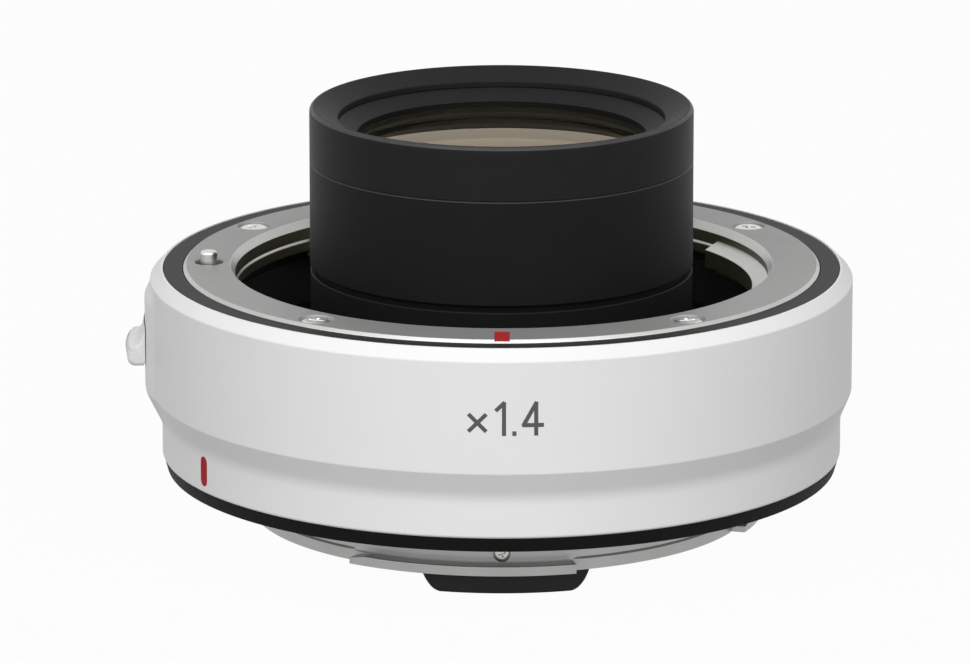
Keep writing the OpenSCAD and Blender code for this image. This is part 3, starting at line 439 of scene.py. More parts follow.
class StageSizes(bpy.types.PropertyGroup):
    """Camera, light and floor"""
    focal: number("Camera lens in millimetres", 288.05)
    sensor: number("Width of the camera's sensor in millimetres", 36.0)
    view_end: length("How far the camera sees", 20000.0)
    distance: length("From the camera to its target", 788.575)
    elevation: turn("How far the camera looks down", 14.241)
    target_x: length("Sideways place of the camera's target", -1.665)
    target_z: length("Height of the camera's target", 13.002)
    key_power: number("Power of the large softbox above the front", 26.5, unit="POWER")
    key_azimuth: turn("Direction of the softbox from the front", -4)
    key_elevation: turn("Height of the softbox as an angle", 46)
    key_distance: length("From the softbox to the camera's target", 1100.0)
    key_width: length("Width of the softbox", 3000.0)
    key_height: length("Height of the softbox", 1200.0)
    ambient: share("Even light from all round", 0.12)
    backdrop: share("How far the floor shows as plain white", 0.97)
    floor: paint("Paper of the floor, as the lamp lights it", "#989898")
    floor_size: length("Half of the floor's width", 6000.0)
    floor_drop: length("How far the floor lies under the object", 0.03)


# Shapes

def spot(angle, radius, z):
    """Point at an angle from the front, which runs towards +X."""
    return Vector((radius * math.sin(angle), -radius * math.cos(angle), z))


def rounded(outline):
    """Outline whose corners are rounded by their third number, with close points beside each round."""
    points = []
    for i, corner in enumerate(outline):
        here = Vector(corner[:2])
        radius = corner[2] if len(corner) > 2 else 0.0
        if radius == 0.0:
            points.append(here)
            continue
        back = Vector(outline[i - 1][:2]) - here
        on = Vector(outline[(i + 1) % len(outline)][:2]) - here
        half = back.angle(on) / 2
        run = min(radius / math.tan(half), ROUND_SHARE * back.length, ROUND_SHARE * on.length)
        radius = run * math.tan(half)
        back.normalize()
        on.normalize()
        centre = here + (back + on).normalized() * radius / math.sin(half)
        start = here + back * run - centre
        sweep = math.pi - 2 * half
        if start.x * on.y - start.y * on.x < 0:
            sweep = -sweep
        points.append(here + back * (run + SUPPORT))
        for step in range(ARC_STEPS + 1):
            points.append(centre + Matrix.Rotation(sweep * step / ARC_STEPS, 2) @ start)
        points.append(here + on * (run + SUPPORT))
    return points


def rectangle(first_x, first_y, last_x, last_y, *radius):
    """Outline of a rectangle, with the radius of its corners if there is one."""
    return [(first_x, first_y, *radius), (last_x, first_y, *radius),
            (last_x, last_y, *radius), (first_x, last_y, *radius)]


def closed(mesh):
    """The same mesh with doubled points merged, loose edges gone and faces turned outwards."""
    bmesh.ops.remove_doubles(mesh, verts=mesh.verts, dist=MERGE)
    loose = [edge for edge in mesh.edges if not edge.link_faces]
    bmesh.ops.delete(mesh, geom=loose, context="EDGES")
    bmesh.ops.recalc_face_normals(mesh, faces=mesh.faces)
    return mesh


def turned(outline, first=0.0, last=360.0, turns=TURNS, shape=None):
    """Solid of an outline turned about the optical axis, whole or between two angles in degrees."""
    whole = last - first == 360.0
    count = turns if whole else max(2, round(turns * (last - first) / 360))
    mesh = bmesh.new()
    rows = []
    for i in range(count if whole else count + 1):
        angle = math.radians(first + (last - first) * i / count)
        points = [shape(angle, *point) for point in outline] if shape else outline
        rows.append([mesh.verts.new(spot(angle, *point)) for point in points])
    for row, following in zip(rows, rows[1:] + rows[:1] if whole else rows[1:]):
        for i in range(len(outline)):
            mesh.faces.new((row[i - 1], row[i], following[i], following[i - 1]))
    if not whole:
        mesh.faces.new(rows[0])
        mesh.faces.new(rows[-1])
    return closed(mesh)


def lofted(sections):
    """Solid through a row of sections with the same number of points."""
    mesh = bmesh.new()
    rows = [[mesh.verts.new(point) for point in section] for section in sections]
    for row, following in zip(rows, rows[1:]):
        for i in range(len(row)):
            mesh.faces.new((row[i - 1], row[i], following[i], following[i - 1]))
    mesh.faces.new(rows[0])
    mesh.faces.new(rows[-1])
    return closed(mesh)


def prism(outline, base, tip):
    """Upright solid of a flat outline."""
    return lofted([[Vector((x, y, z)) for x, y in outline] for z in (base, tip)])


def disc(radius, base, tip, sides=PIN_TURNS):
    """Upright cylinder."""
    corners = [2 * math.pi * i / sides for i in range(sides)]
    return prism([(radius * math.cos(a), radius * math.sin(a)) for a in corners], base, tip)


def moved(mesh, matrix):
    """The same mesh in another place."""
    mesh.transform(matrix)
    return mesh


def at(angle, radius, z, tilt=None):
    """Matrix that stands a shape at an angle in degrees and a radius, with its +X pointing outwards."""
    angle = math.radians(angle)
    matrix = Matrix.Translation(spot(angle, radius, z)) @ Matrix.Rotation(angle - math.pi / 2, 4, "Z")
    return matrix @ tilt if tilt else matrix


def joined(meshes):
    """One mesh of several."""
    whole = bmesh.new()
    for mesh in meshes:
        data = bpy.data.meshes.new("part")
        mesh.to_mesh(data)
        mesh.free()
        whole.from_mesh(data)
        bpy.data.meshes.remove(data)
    return whole


def worked(mesh, tools, operation="DIFFERENCE"):
    """A solid with others cut from it or joined to it."""
    made = []
    for shape in [mesh] + tools:
        data = bpy.data.meshes.new("blank")
        shape.to_mesh(data)
        shape.free()
        blank = bpy.data.objects.new("blank", data)
        bpy.context.scene.collection.objects.link(blank)
        made.append(blank)
    for tool in made[1:]:
        cut = made[0].modifiers.new("cut", "BOOLEAN")
        cut.operation = operation
        cut.solver = "EXACT"
        cut.object = tool
    result = bmesh.new()
    result.from_object(made[0], bpy.context.evaluated_depsgraph_get())
    for blank in made:
        data = blank.data
        bpy.data.objects.remove(blank)
        bpy.data.meshes.remove(data)
    if not result.faces:
        raise RuntimeError("nothing is left of a solid after cutting")
    return result


def piece(name, mesh, finishes, nodes, body="main", sharp=25):
    """Puts a mesh into the scene in place of CAD nodes, on the body that carries them.

    Edges that bend by more than sharp, in degrees, stay crisp.
    """
    data = bpy.data.meshes.new(name)
    mesh.to_mesh(data)
    mesh.free()
    data.shade_smooth()
    data.set_sharp_from_angle(angle=math.radians(sharp))
    for finish in finishes:
        data.materials.append(FINISHES[finish])
    made = bpy.data.objects.new(name, data)
    bpy.context.scene.collection.objects.link(made)
    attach(made, body)
    if nodes:
        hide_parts(*nodes)
    return made


def marked(mesh, test, index=1):
    """Gives the faces whose points all pass a test another of the piece's finishes."""
    for face in mesh.faces:
        if all(test(vert.co) for vert in face.verts):
            face.material_index = index


def dress(finish, *names):
    """Gives CAD nodes that stay in view a finish."""
    for name in names:
        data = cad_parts[name].data
        data.materials.clear()
        data.materials.append(FINISHES[finish])


# Finishes

FINISHES = {}

# How each finish looks, apart from its colour. Grain, depth and patch are in millimetres
LOOKS = {
    # Sprayed and baked enamel over a cast ring: satin, with a faint orange peel half a millimetre wide
    "enamel": dict(name="satin_white_enamel", shade=0.012, grain=0.5, depth=0.0006, roughness=0.42,
                   spread=0.03, patch=9.0, specular=0.1),
    # Moulded charcoal plastic: dull, with a fine spark-eroded texture
    "charcoal": dict(name="moulded_charcoal_plastic", shade=0.06, grain=0.2, depth=0.003, roughness=0.5,
                     spread=0.06, specular=0.1),
    # Turned brass with satin hard plating: fine rings from the lathe, which draw highlights across
    "plate": dict(name="turned_plated_brass", shade=0.05, grain=0.12, depth=0.0008, roughness=0.5,
                  spread=0.04, lathe=True, metallic=0.3, anisotropic=0.2),
    # The same plating inside the throat, painted darker and olive: painted shade, with a painted warm
    # reflection
    "throat": dict(name="throat_plating_painted_shade", shade=0.1, grain=0.12, depth=0.0008, roughness=0.45,
                   spread=0.04, lathe=True, metallic=1.0),
    # Bevels cut last with a polished tool: they mirror the lamp
    "bright": dict(name="polished_cut_edge", shade=0.05, grain=0.12, depth=0.0005, roughness=0.32,
                   spread=0.04, lathe=True, metallic=1.0),
    # Rear neck: the same plating worn smooth by being turned in its mount
    "neck": dict(name="smooth_plated_neck", shade=0.06, grain=0.12, depth=0.0006, roughness=0.38,
                 spread=0.05, lathe=True, metallic=0.95, anisotropic=0.3),
    # Bright steel: turned screw heads and ground pins
    "steel": dict(name="turned_bright_steel", shade=0.08, grain=0.15, depth=0.0008, roughness=0.38,
                  spread=0.05, metallic=1.0),
    # Blackened steel: small screws out of the light path
    "black_steel": dict(name="blackened_steel", shade=0.15, grain=0.15, depth=0.001, roughness=0.38,
                        spread=0.06, metallic=1.0),
    # Matte black paint over turned alloy: a fine even grain of about a fifth of a millimetre
    "barrel": dict(name="matte_black_paint", shade=0.1, grain=0.2, depth=0.006, roughness=0.55,
                   spread=0.05, specular=0.1),
    # The same paint on the cap, painted lighter as painted light: the top of the barrel catches more light
    "cap": dict(name="black_paint_painted_lighter", shade=0.1, grain=0.2, depth=0.006, roughness=0.5,
                spread=0.05, specular=0.07),
    # Dull black paint, painted darker as painted shade at the foot of the barrel, in its groove and in the
    # front ring's bore
    "foot": dict(name="black_paint_painted_shade", shade=0.1, grain=0.25, depth=0.006, roughness=0.65,
                 spread=0.05, specular=0.08),
    # Black flock over the cavity's floor: almost no light comes back
    "cavity": dict(name="flocked_black_lining", shade=0.2, grain=0.3, depth=0.01, roughness=0.8,
                   spread=0.05, specular=0.05),
    # A lighter grey on turned edges of the barrel, as a painted highlight where they catch the lamp
    "painted_edge_highlight": dict(name="turned_edge_painted_highlight", shade=0.2, grain=0.3, depth=0.002, roughness=0.5,
                      spread=0.06, specular=0.3),
    # Moulded black polycarbonate: smooth, and a little shinier than the paint
    "moulding": dict(name="moulded_black_polycarbonate", shade=0.08, grain=0.25, depth=0.002, roughness=0.45,
                     spread=0.06, specular=0.22),
    # Black paint over a die casting: coarse and dull inside the body
    "chassis": dict(name="black_painted_casting", shade=0.15, grain=0.4, depth=0.006, roughness=0.6,
                    spread=0.08),
    # Black anodised tube inside: dull, and drawn lighter and olive as painted light that comes in through
    # the lenses
    "anodised": dict(name="black_anodised_alloy_painted_light", shade=0.08, grain=0.15, depth=0.001, roughness=0.5,
                     spread=0.05, lathe=True),
    # Moulded nitrile rubber: dull black with a soft bloom
    "rubber": dict(name="moulded_nitrile_rubber", shade=0.2, grain=0.3, depth=0.003, roughness=0.62,
                   spread=0.08, specular=0.1),
    # Red enamel filled into a recess: flat and even, with hardly any shine
    "red": dict(name="filled_red_enamel", shade=0.06, grain=0.3, depth=0.001, roughness=0.5,
                spread=0.04, specular=0.03),
    # Screen-printed ink: flat dark grey
    "ink": dict(name="screen_printed_ink", shade=0.06, grain=0.12, depth=0.001, roughness=0.5, spread=0.05),
    # Hard gold plating on the contacts: warm and shiny
    "gold": dict(name="hard_gold_plating", shade=0.08, grain=0.12, depth=0.0006, roughness=0.22,
                 spread=0.06, metallic=1.0),
    # Glass-fibre board under green solder mask: half glossy, with cloudy tone
    "board": dict(name="green_solder_mask", shade=0.25, grain=0.4, depth=0.002, roughness=0.35, spread=0.06),
    # Moulded epoxy chip packages: dull and nearly black
    "chip": dict(name="moulded_epoxy_package", shade=0.1, grain=0.15, depth=0.002, roughness=0.55,
                 spread=0.06),
    # Amber polyimide film over copper: smooth and half glossy
    "film": dict(name="amber_polyimide_film", shade=0.12, grain=0.3, depth=0.001, roughness=0.32,
                 spread=0.05),
    # Rolled brass shim: yellow and shiny
    "brass": dict(name="rolled_brass", shade=0.1, grain=0.2, depth=0.001, roughness=0.28,
                  spread=0.06, metallic=1.0),
    # Painted lens edges: dull, and drawn a lighter olive grey as painted light that comes in through the
    # lenses
    "lens_edge": dict(name="blackened_lens_edge_painted_light", shade=0.1, grain=0.2, depth=0.002, roughness=0.7,
                      spread=0.05),
}


def node(tree, kind, inputs=None, **settings):
    """Adds a node with its settings, and sets or links its sockets."""
    made = tree.nodes.new(kind)
    for name, value in settings.items():
        setattr(made, name, value)
    for socket, value in (inputs or {}).items():
        if isinstance(value, bpy.types.NodeSocket):
            tree.links.new(value, made.inputs[socket])
        else:
            made.inputs[socket].default_value = value
    return made


def blank_material(name):
    """Material with nothing in its node tree, and that tree."""
    material = bpy.data.materials.new(name)
    material.use_nodes = True
    material.node_tree.nodes.clear()
    return material, material.node_tree


def surface(name, colour, shade, grain, depth, roughness, spread, patch=4.0, lathe=False, specular=0.5,
            metallic=0.0, anisotropic=0.0):
    """Procedural finish, whose fine grain is rings about the axis if it comes from a lathe.

    Shade is how much darker the tone gets in places, patch the size of those places, and spread how much
    the roughness changes. Grain is the width of the bumps and depth their height.
    """
    material, tree = blank_material(name)
    place = node(tree, "ShaderNodeTexCoord").outputs["Object"]
    if lathe:
        parts = node(tree, "ShaderNodeSeparateXYZ", {0: place})
        flat = node(tree, "ShaderNodeCombineXYZ", {0: parts.outputs[0], 1: parts.outputs[1]})
        radius = node(tree, "ShaderNodeVectorMath", {0: flat.outputs[0]}, operation="LENGTH")
        along = node(tree, "ShaderNodeMath", {0: radius.outputs["Value"], 1: parts.outputs[2]})
        fine = node(tree, "ShaderNodeTexNoise", {"W": along.outputs[0], "Scale": 1 / (grain * MM),
                                                 "Detail": 2.0}, noise_dimensions="1D")
    else:
        fine = node(tree, "ShaderNodeTexNoise", {"Vector": place, "Scale": 1 / (grain * MM), "Detail": 3.0})
    slow = node(tree, "ShaderNodeTexNoise", {"Vector": place, "Scale": 1 / (patch * MM), "Detail": 2.0})
    tone = node(tree, "ShaderNodeMapRange", {"Value": slow.outputs["Fac"], "From Min": 0.3, "From Max": 0.7,
                                             "To Min": 1.0 - shade, "To Max": 1.0})
    base = node(tree, "ShaderNodeMix", {"Factor": 1.0, 6: colour, 7: tone.outputs[0]},
                data_type="RGBA", blend_type="MULTIPLY")
    gloss = node(tree, "ShaderNodeMapRange", {
        "Value": fine.outputs["Fac"], "From Min": 0.25, "From Max": 0.75,
        "To Min": roughness - spread, "To Max": roughness + spread})
    bump = node(tree, "ShaderNodeBump", {"Strength": 1.0, "Distance": depth * MM,
                                         "Height": fine.outputs["Fac"]})
    shader = node(tree, "ShaderNodeBsdfPrincipled", {
        "Base Color": base.outputs[2], "Roughness": gloss.outputs[0], "Normal": bump.outputs[0],
        "Specular IOR Level": specular, "Metallic": metallic, "Anisotropic": anisotropic})
    if anisotropic:
        tangent = node(tree, "ShaderNodeTangent", direction_type="RADIAL", axis="Z")
        tree.links.new(tangent.outputs[0], shader.inputs["Tangent"])
    node(tree, "ShaderNodeOutputMaterial", {"Surface": shader.outputs[0]})
    return material


def make_finishes(colours):
    """Makes every finish of the object."""
    for key, look in LOOKS.items():
        FINISHES[key] = surface(colour=getattr(colours, key), **look)
    # Optical glass under a single hard coating: clear, with a warm reflection at low angles
    material, tree = blank_material("coated_optical_glass")
    shader = node(tree, "ShaderNodeBsdfPrincipled", {
        "Base Color": colours.glass, "Roughness": 0.0, "Transmission Weight": 1.0,
        "IOR": colours.glass_index, "Thin Film Thickness": colours.coating,
        "Thin Film IOR": colours.coating_index})
    node(tree, "ShaderNodeOutputMaterial", {"Surface": shader.outputs[0]})
    FINISHES["glass"] = material


# Screws

def cross_screw(head, thread, shank):
    """Countersunk cross-head screw that points down from the origin, with a form that follows its head."""
    rim, fall, land = 0.72 * head, 0.14 * head, 0.05 * head
    crown, edge = 0.1 * head, 0.04 * head
    neck = -fall - land - (head - thread)
    body = turned(rounded([
        (0.0, 0.0), (rim, 0.0, crown), (head, -fall, edge), (head, -fall - land),
        (thread, neck), (thread, -shank), (0.0, -shank)]), turns=SCREW_TURNS)
    arm, half, depth, narrowing = 0.5 * head, 0.11 * head, 0.2 * head, 0.6
    cross = [(arm, -half), (arm, half), (half, half), (half, arm), (-half, arm), (-half, half),
             (-arm, half), (-arm, -half), (-half, -half), (-half, -arm), (half, -arm), (half, -half)]
    levels = ((depth, 1.0), (0.0, 1.0), (-depth, narrowing))
    recess = lofted([[Vector((x * scale, y * scale, z)) for x, y in cross] for z, scale in levels])
    return worked(body, [recess])


def screw_set(name, node_name, form, places):
    """Like screws in one piece, each at its own place and turn. Form is head, thread and length."""
    meshes = []
    for count, place in enumerate(places):
        twist = Matrix.Rotation(math.radians(FIRST_TWIST + NEXT_TWIST * count), 4, "Z")
        meshes.append(moved(cross_screw(*form), place @ twist))
    return piece(name, joined(meshes), ["steel"], [node_name])


def stepped_hole(radius, mouth, depth, bore, bore_depth):
    """Cutter for a hole from the origin down, bevelled at its mouth and narrower from a depth on."""
    return turned([
        (0.0, OVER), (radius + mouth + OVER, OVER), (radius, -mouth), (radius, -depth),
        (bore, -bore_depth), (bore, -HOLE_DEPTH), (0.0, -HOLE_DEPTH)], turns=HOLE_TURNS)


def screw_seat(size, mouth):
    """Cutter for a mount screw's seat."""
    return stepped_hole(size.screw_head + CLEAR, mouth, size.screw_seat, size.screw_thread + CLEAR,
                        size.screw_cone)


# Pieces

class Builder:
    """What the operators of this add-on share."""
    bl_options = {"REGISTER", "UNDO"}


class CONVERTER_OT_shell(Builder, bpy.types.Operator):
    """White shell with its bevelled rim, its step and the lever's pad"""
    bl_idname = "converter.shell"
    bl_label = "Shell"

    def execute(self, context):
        size = context.scene.shell_sizes
        low_z, top_z = low("outer_shell"), top("outer_shell")
        rebate_z = low("front_trim_ring")
        bevel_z = top_z - size.bevel
        outer = rounded([
            (size.inner_radius, low_z), (size.rear_radius, low_z, size.edge),
            (size.rear_radius, size.step_low, size.step_hollow),
            (size.radius, size.step_top, size.step_edge),
            (size.radius, bevel_z, size.edge), (size.radius - size.bevel, top_z, size.edge),
            (size.rebate_radius, top_z, size.rebate_edge), (size.rebate_radius, rebate_z),
            (size.inner_radius, rebate_z)])
        wall = size.inner_radius + size.bore_wall
        outline = []
        for here, following in zip(outer, outer[1:] + outer[:1]):
            rows = 1
            if min(here.x, following.x) > wall:
                rows = max(1, round((following - here).length / size.row))
            outline += [here + (following - here) * i / rows for i in range(rows)]
        side = math.radians(LEVER_SIDE)
        rise = size.pad_radius - size.radius
        slope = (size.pad_radius - size.rear_radius) / (size.pad_low - size.pad_foot)

        def pad(angle, radius, z):
            """Lifts a point of the outline where the pad stands over it."""
            away = abs((angle - side + math.pi) % (2 * math.pi) - math.pi)
            if radius < wall or z > bevel_z or away > size.pad_half + size.pad_blend:
                return radius, z
            wide = 1 - eased((away - size.pad_half + size.pad_blend / 2) / size.pad_blend)
            back_turn = max(0.0, (side - angle + math.pi) % (2 * math.pi) - math.pi)
            end_z = bevel_z - size.pad_fall * back_turn
            upper = size.pad_radius - rise * eased((z - end_z) / size.pad_ramp + 1)
            lower = size.rear_radius + slope * (z - size.pad_foot)
            crest = (upper + lower - math.hypot(upper - lower, size.pad_soft)) / 2
            proud = crest - radius
            lifted = (proud + math.hypot(proud, size.pad_soft) - size.pad_soft) / 2
            return radius + wide * max(0.0, lifted), z

        mesh = turned(outline, turns=SHELL_TURNS, shape=pad)
        half = size.slot_width / 2
        slot = prism(rectangle(-size.slot_reach, -half, size.slot_reach, half), size.slot_low, size.slot_top)
        mesh = worked(mesh, [moved(slot, at(LEVER_SIDE, size.radius, 0.0))])
        piece("white_shell", mesh, ["enamel"], ["outer_shell"], sharp=30)
        return {"FINISHED"}


class CONVERTER_OT_trim(Builder, bpy.types.Operator):
    """Dark ring between shell and mount, and the rubber seal at the rear"""
    bl_idname = "converter.trim"
    bl_label = "Trim and seal"

    def execute(self, context):
        size = context.scene.ring_sizes
        shell = context.scene.shell_sizes
        bore, rim = context.scene.mount_sizes.face + FIT, shell.rebate_radius - FIT
        base, tip = low("front_trim_ring"), top("front_trim_ring")
        mesh = turned(rounded([
            (bore, base), (rim, base), (rim, tip, size.trim_edge), (bore, tip, size.trim_edge)]))
        piece("charcoal_trim", mesh, ["charcoal"], ["front_trim_ring"])
        root, foot = top("seal_ring"), low("outer_shell")
        lip = low("seal_ring") - size.seal_drop
        seat = shell.inner_radius - FIT
        outer = shell.rear_radius - size.seal_gap
        mesh = turned(rounded([
            (size.seal_bore, low("seal_ring") / 2, size.seal_round / 2),
            (size.seal_bore + size.seal_slant, lip, size.seal_edge),
            (shell.rear_radius - size.seal_setback, lip, size.seal_round),
            (outer - size.seal_edge, foot - size.seal_setback, size.seal_round),
            (outer, foot, size.seal_edge / 4), (seat, foot), (seat, root), (size.seal_bore, root)]))
        piece("rubber_seal", mesh, ["rubber"], ["seal_ring"])
        return {"FINISHED"}


class CONVERTER_OT_front_mount(Builder, bpy.types.Operator):
    """Front bayonet ring with its tabs, screws and index mark"""
    bl_idname = "converter.front_mount"
    bl_label = "Front mount"

    def execute(self, context):
        size = context.scene.mount_sizes
        front = top("front_mount_ring")
        flange = reach("front_mount_ring")
        flange_top = low("front_trim_ring") - size.flange_gap
        bottom = front - size.throat_depth
        collar = size.throat + size.collar
        ledge = size.throat - size.ledge
        ledge_z = bottom + size.ledge_height
        slope_z = ledge_z + size.ledge_slope
        body = turned(rounded([
            (size.throat + size.bevel_width, front, size.throat_edge),
            (size.face - size.face_bevel, front, size.edge), (size.face, front - size.face_bevel, size.edge),
            (size.face, flange_top), (flange, flange_top), (flange, size.seat), (collar, size.seat),
            (collar, bottom), (ledge, bottom, size.ledge_round), (ledge, ledge_z, size.ledge_edge),
            (size.throat, slope_z, size.ledge_edge),
            (size.throat, front - size.bevel_height, size.throat_edge)]))
        under = front - size.tab_depth
        tip_z = front - size.tab_drop - size.tab_slope
        root = size.throat + size.tab_root
        root_z = tip_z + size.tab_slope * (root - size.tab) / (size.throat - size.tab)
        tabs = [turned(rounded([
            (size.tab, under, size.tab_edge), (root, under), (root, root_z),
            (size.tab, tip_z, size.tab_edge)]), *tab) for tab in FRONT_TABS]
        body = worked(body, tabs, "UNION")
        cuts = [moved(screw_seat(size, size.front_mouth), at(angle, size.screw_circle, front))
                for angle in FRONT_SCREWS]
        recess = stepped_hole(size.lock_recess, size.lock_mouth, size.lock_recess_depth, size.lock_bore,
                              size.lock_recess_depth)
        cuts.append(moved(recess, at(LEVER_SIDE, size.lock_circle, front)))
        mark_low, mark_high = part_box("front_index_mark")
        cuts.append(prism(rectangle(*mark_low.xy, *mark_high.xy), mark_low.z, front + OVER))
        body = worked(body, cuts)
        wall_top = front - size.bevel_height + TINY
        # Painted shade: the throat's wall, its ledge and the tabs' inner ends take the darker olive plating
        marked(body, lambda point: point.z < wall_top and (
            point.xy.length < size.tab + SUPPORT
            or abs(point.xy.length - size.throat) < SUPPORT and point.z > slope_z + CLEAR
            or abs(point.xy.length - ledge) < SUPPORT and point.z < ledge_z - CLEAR))
        marked(body, lambda point: point.z > wall_top - SUPPORT and (
            point.xy.length < size.throat + size.bevel_width + SUPPORT
            or point.xy.length > size.face - size.face_bevel - SUPPORT), 2)
        marked(body, lambda point: tip_z - SUPPORT < point.z < tip_z + size.tab_slope + SUPPORT
               and size.tab + SUPPORT < point.xy.length < size.throat + SUPPORT, 2)
        piece("front_bayonet", body, ["plate", "throat", "bright"], ["front_mount_ring"])
        places = [at(angle, size.screw_circle, front - HEAD_SUNK) for angle in FRONT_SCREWS]
        form = size.screw_head, size.screw_thread, size.screw_length
        screw_set("front_screws", "front_mount_screws", form, places)
        inset = Vector((CLEAR, CLEAR))
        fill = rounded(rectangle(*(mark_low.xy + inset), *(mark_high.xy - inset), size.mark_round))
        piece("front_red_mark", prism(fill, mark_low.z, mark_high.z - CLEAR), ["red"], ["front_index_mark"])
        dress("steel", "mount_leaf_springs")
        return {"FINISHED"}


class CONVERTER_OT_barrel(Builder, bpy.types.Operator):
    """Black barrel with its cap, base and front retaining ring"""
    bl_idname = "converter.barrel"
    bl_label = "Barrel"

    def execute(self, context):
        size = context.scene.barrel_sizes
        foot = top("front_mount_ring") + size.foot_rise
        spigot = size.radius - size.groove
        tube_top = top("inner_lens_tube") + FIT
        seat_z = tube_top + size.lens_seat_height
        low_z, high = low("front_barrel"), top("front_barrel")
        cap_low = low("barrel_cap")
        wall_top = cap_low - size.parting
        mesh = turned(rounded([
            (size.tube_hole, low_z), (spigot, low_z), (spigot, foot), (size.radius, foot, size.foot_edge),
            (size.radius, wall_top - size.parting_bevel), (size.radius - size.parting_bevel, wall_top),
            (size.socket, wall_top), (size.socket, high), (size.lens_cell, high), (size.lens_cell, seat_z),
            (size.lens_seat, seat_z), (size.lens_seat, tube_top), (size.tube_hole, tube_top)]))
        # Painted highlight: the bevel under the parting line takes the lighter grey
        marked(mesh, lambda point: wall_top - size.parting_bevel - TINY < point.z < wall_top + TINY
               and point.xy.length > size.radius - size.parting_bevel - TINY)
        # Painted shade: the groove and the foot take the darker paint
        marked(mesh, lambda point: point.z < foot + TINY and point.xy.length > spigot - TINY, 2)
        piece("black_barrel", mesh, ["barrel", "painted_edge_highlight", "foot"], ["front_barrel"])
        rim = top("barrel_cap")
        lip_z = rim - size.rim_drop - size.rim_lip
        bore = size.rim_bore + size.undercut
        ring_low = high + FIT
        mesh = turned(rounded([
            (size.socket + FIT, cap_low), (size.radius, cap_low, size.cap_edge),
            (size.radius, rim - size.rim_edge, size.rim_round),
            (size.radius - size.rim_edge, rim, size.rim_crest),
            (size.rim_bore, rim - size.rim_drop, size.rim_inner), (size.rim_bore, lip_z, size.rim_lower),
            (bore, lip_z), (bore, ring_low), (size.socket + FIT, ring_low)]))
        # Painted light: the rim takes the lighter cap paint. Painted highlight: its outer edge takes the
        # lighter grey
        marked(mesh, lambda point: point.z > rim - size.rim_edge - size.painted_highlight_height
               and point.xy.length > size.radius - size.rim_edge)
        piece("barrel_rim", mesh, ["cap", "painted_edge_highlight"], ["barrel_cap"])
        flange_low, base_top = low("barrel_base"), top("barrel_base")
        flange, flange_top = reach("barrel_base"), flange_low + size.base_flange
        base, seat = size.radius - FIT, low_z - FIT
        mesh = turned(rounded([
            (size.tube_hole, flange_low), (flange, flange_low), (flange, flange_top), (base, flange_top),
            (base, base_top - size.base_edge), (base - size.base_edge, base_top), (spigot + FIT, base_top),
            (spigot + FIT, seat), (size.tube_hole, seat)]))
        # Painted shade: the base takes the darker foot paint. Painted highlight: its top edge takes the
        # lighter cap paint
        marked(mesh, lambda point: point.z > base_top - size.base_edge - TINY
               and point.xy.length > base - size.base_edge - TINY)
        piece("barrel_foot", mesh, ["foot", "cap"], ["barrel_base"])
        ring_top = lip_z - FIT
        lens_z = low("front_retaining_ring") + size.lens_gap
        mesh = turned(rounded([
            (size.ring_bore, lens_z), (size.lens_cell, lens_z), (size.lens_cell, ring_low),
            (bore - FIT, ring_low), (bore - FIT, ring_top), (size.rim_bore - FIT, ring_top, size.ring_edge),
            (size.ring_bore, lens_z + size.ring_lip, size.ring_edge)]))
        # Painted shade: the ring's bore takes the darker foot paint. Painted light: the rest takes the
        # lighter cap paint
        marked(mesh, lambda point: point.xy.length < size.ring_bore + TINY)
        piece("front_ring", mesh, ["cap", "foot"], ["front_retaining_ring"])
        dress("anodised", "inner_lens_tube", "middle_retaining_ring", "lens_spacer", "rear_retaining_ring")
        dress("black_steel", "barrel_base_screws")
        return {"FINISHED"}


class CONVERTER_OT_optics(Builder, bpy.types.Operator):
    """The seven lenses, with blackened edges"""
    bl_idname = "converter.optics"
    bl_label = "Optics"
    # Radii in millimetres of each lens's front and rear, above zero where the face bulges
    faces = {1: (400, -60), 2: (60, 110), 3: (-80, -40), 4: (40, -150),
             5: (60, 45), 6: (-45, 90), 7: (-45, 200)}

    def execute(self, context):
        for lens, (front, rear) in self.faces.items():
            name = f"lens_{lens}"
            radius = reach(name)
            outline = []
            for side, roc, edge in ((1, front * MM, top(name)), (-1, rear * MM, low(name))):
                pole = edge if roc > 0 else edge - side * sag(roc, radius)
                bend = side * math.copysign(1, roc)
                steps = [radius * i / LENS_STEPS for i in range(LENS_STEPS + 1)]
                face = [Vector((step, pole - bend * sag(roc, step))) for step in steps]
                outline += face if side > 0 else face[::-1]
            mesh = turned(outline, turns=LENS_TURNS)
            marked(mesh, lambda point: point.xy.length > radius - TINY)
            piece(f"glass_{lens}", mesh, ["glass", "lens_edge"], [name], sharp=40)
        return {"FINISHED"}


class CONVERTER_OT_cavity(Builder, bpy.types.Operator):
    """Floor of the front cavity with its contact block and sprung pins"""
    bl_idname = "converter.cavity"
    bl_label = "Front cavity"

    def execute(self, context):
        size = context.scene.contact_sizes
        dress("cavity", "cavity_floor", "front_contact_block")
        dress("chassis", "chassis")
        dress("black_steel", "cavity_floor_screws")
        for contact in CONTACTS:
            name = f"contact_pin_{contact}"
            base, tip = low(name), top(name)
            shoulder = base + size.pin_collar_height
            angles = [math.pi / 2 * i / ARC_STEPS for i in range(ARC_STEPS + 1)]
            bulge = size.pin * size.pin_dome
            dome = [(size.pin * math.cos(a), tip - bulge * (1 - math.sin(a))) for a in angles]
            stem = [(0.0, base), (size.pin_collar, base), (size.pin_collar, shoulder), (size.pin, shoulder)]
            mesh = turned(stem + dome, turns=CONTACT_TURNS)
            place = middle_of(name)
            mesh = moved(mesh, Matrix.Translation((place.x, place.y, 0.0)))
            piece(f"gold_pin_{contact}", mesh, ["gold"], [name], body=f"plunger_{contact}", sharp=40)
        return {"FINISHED"}


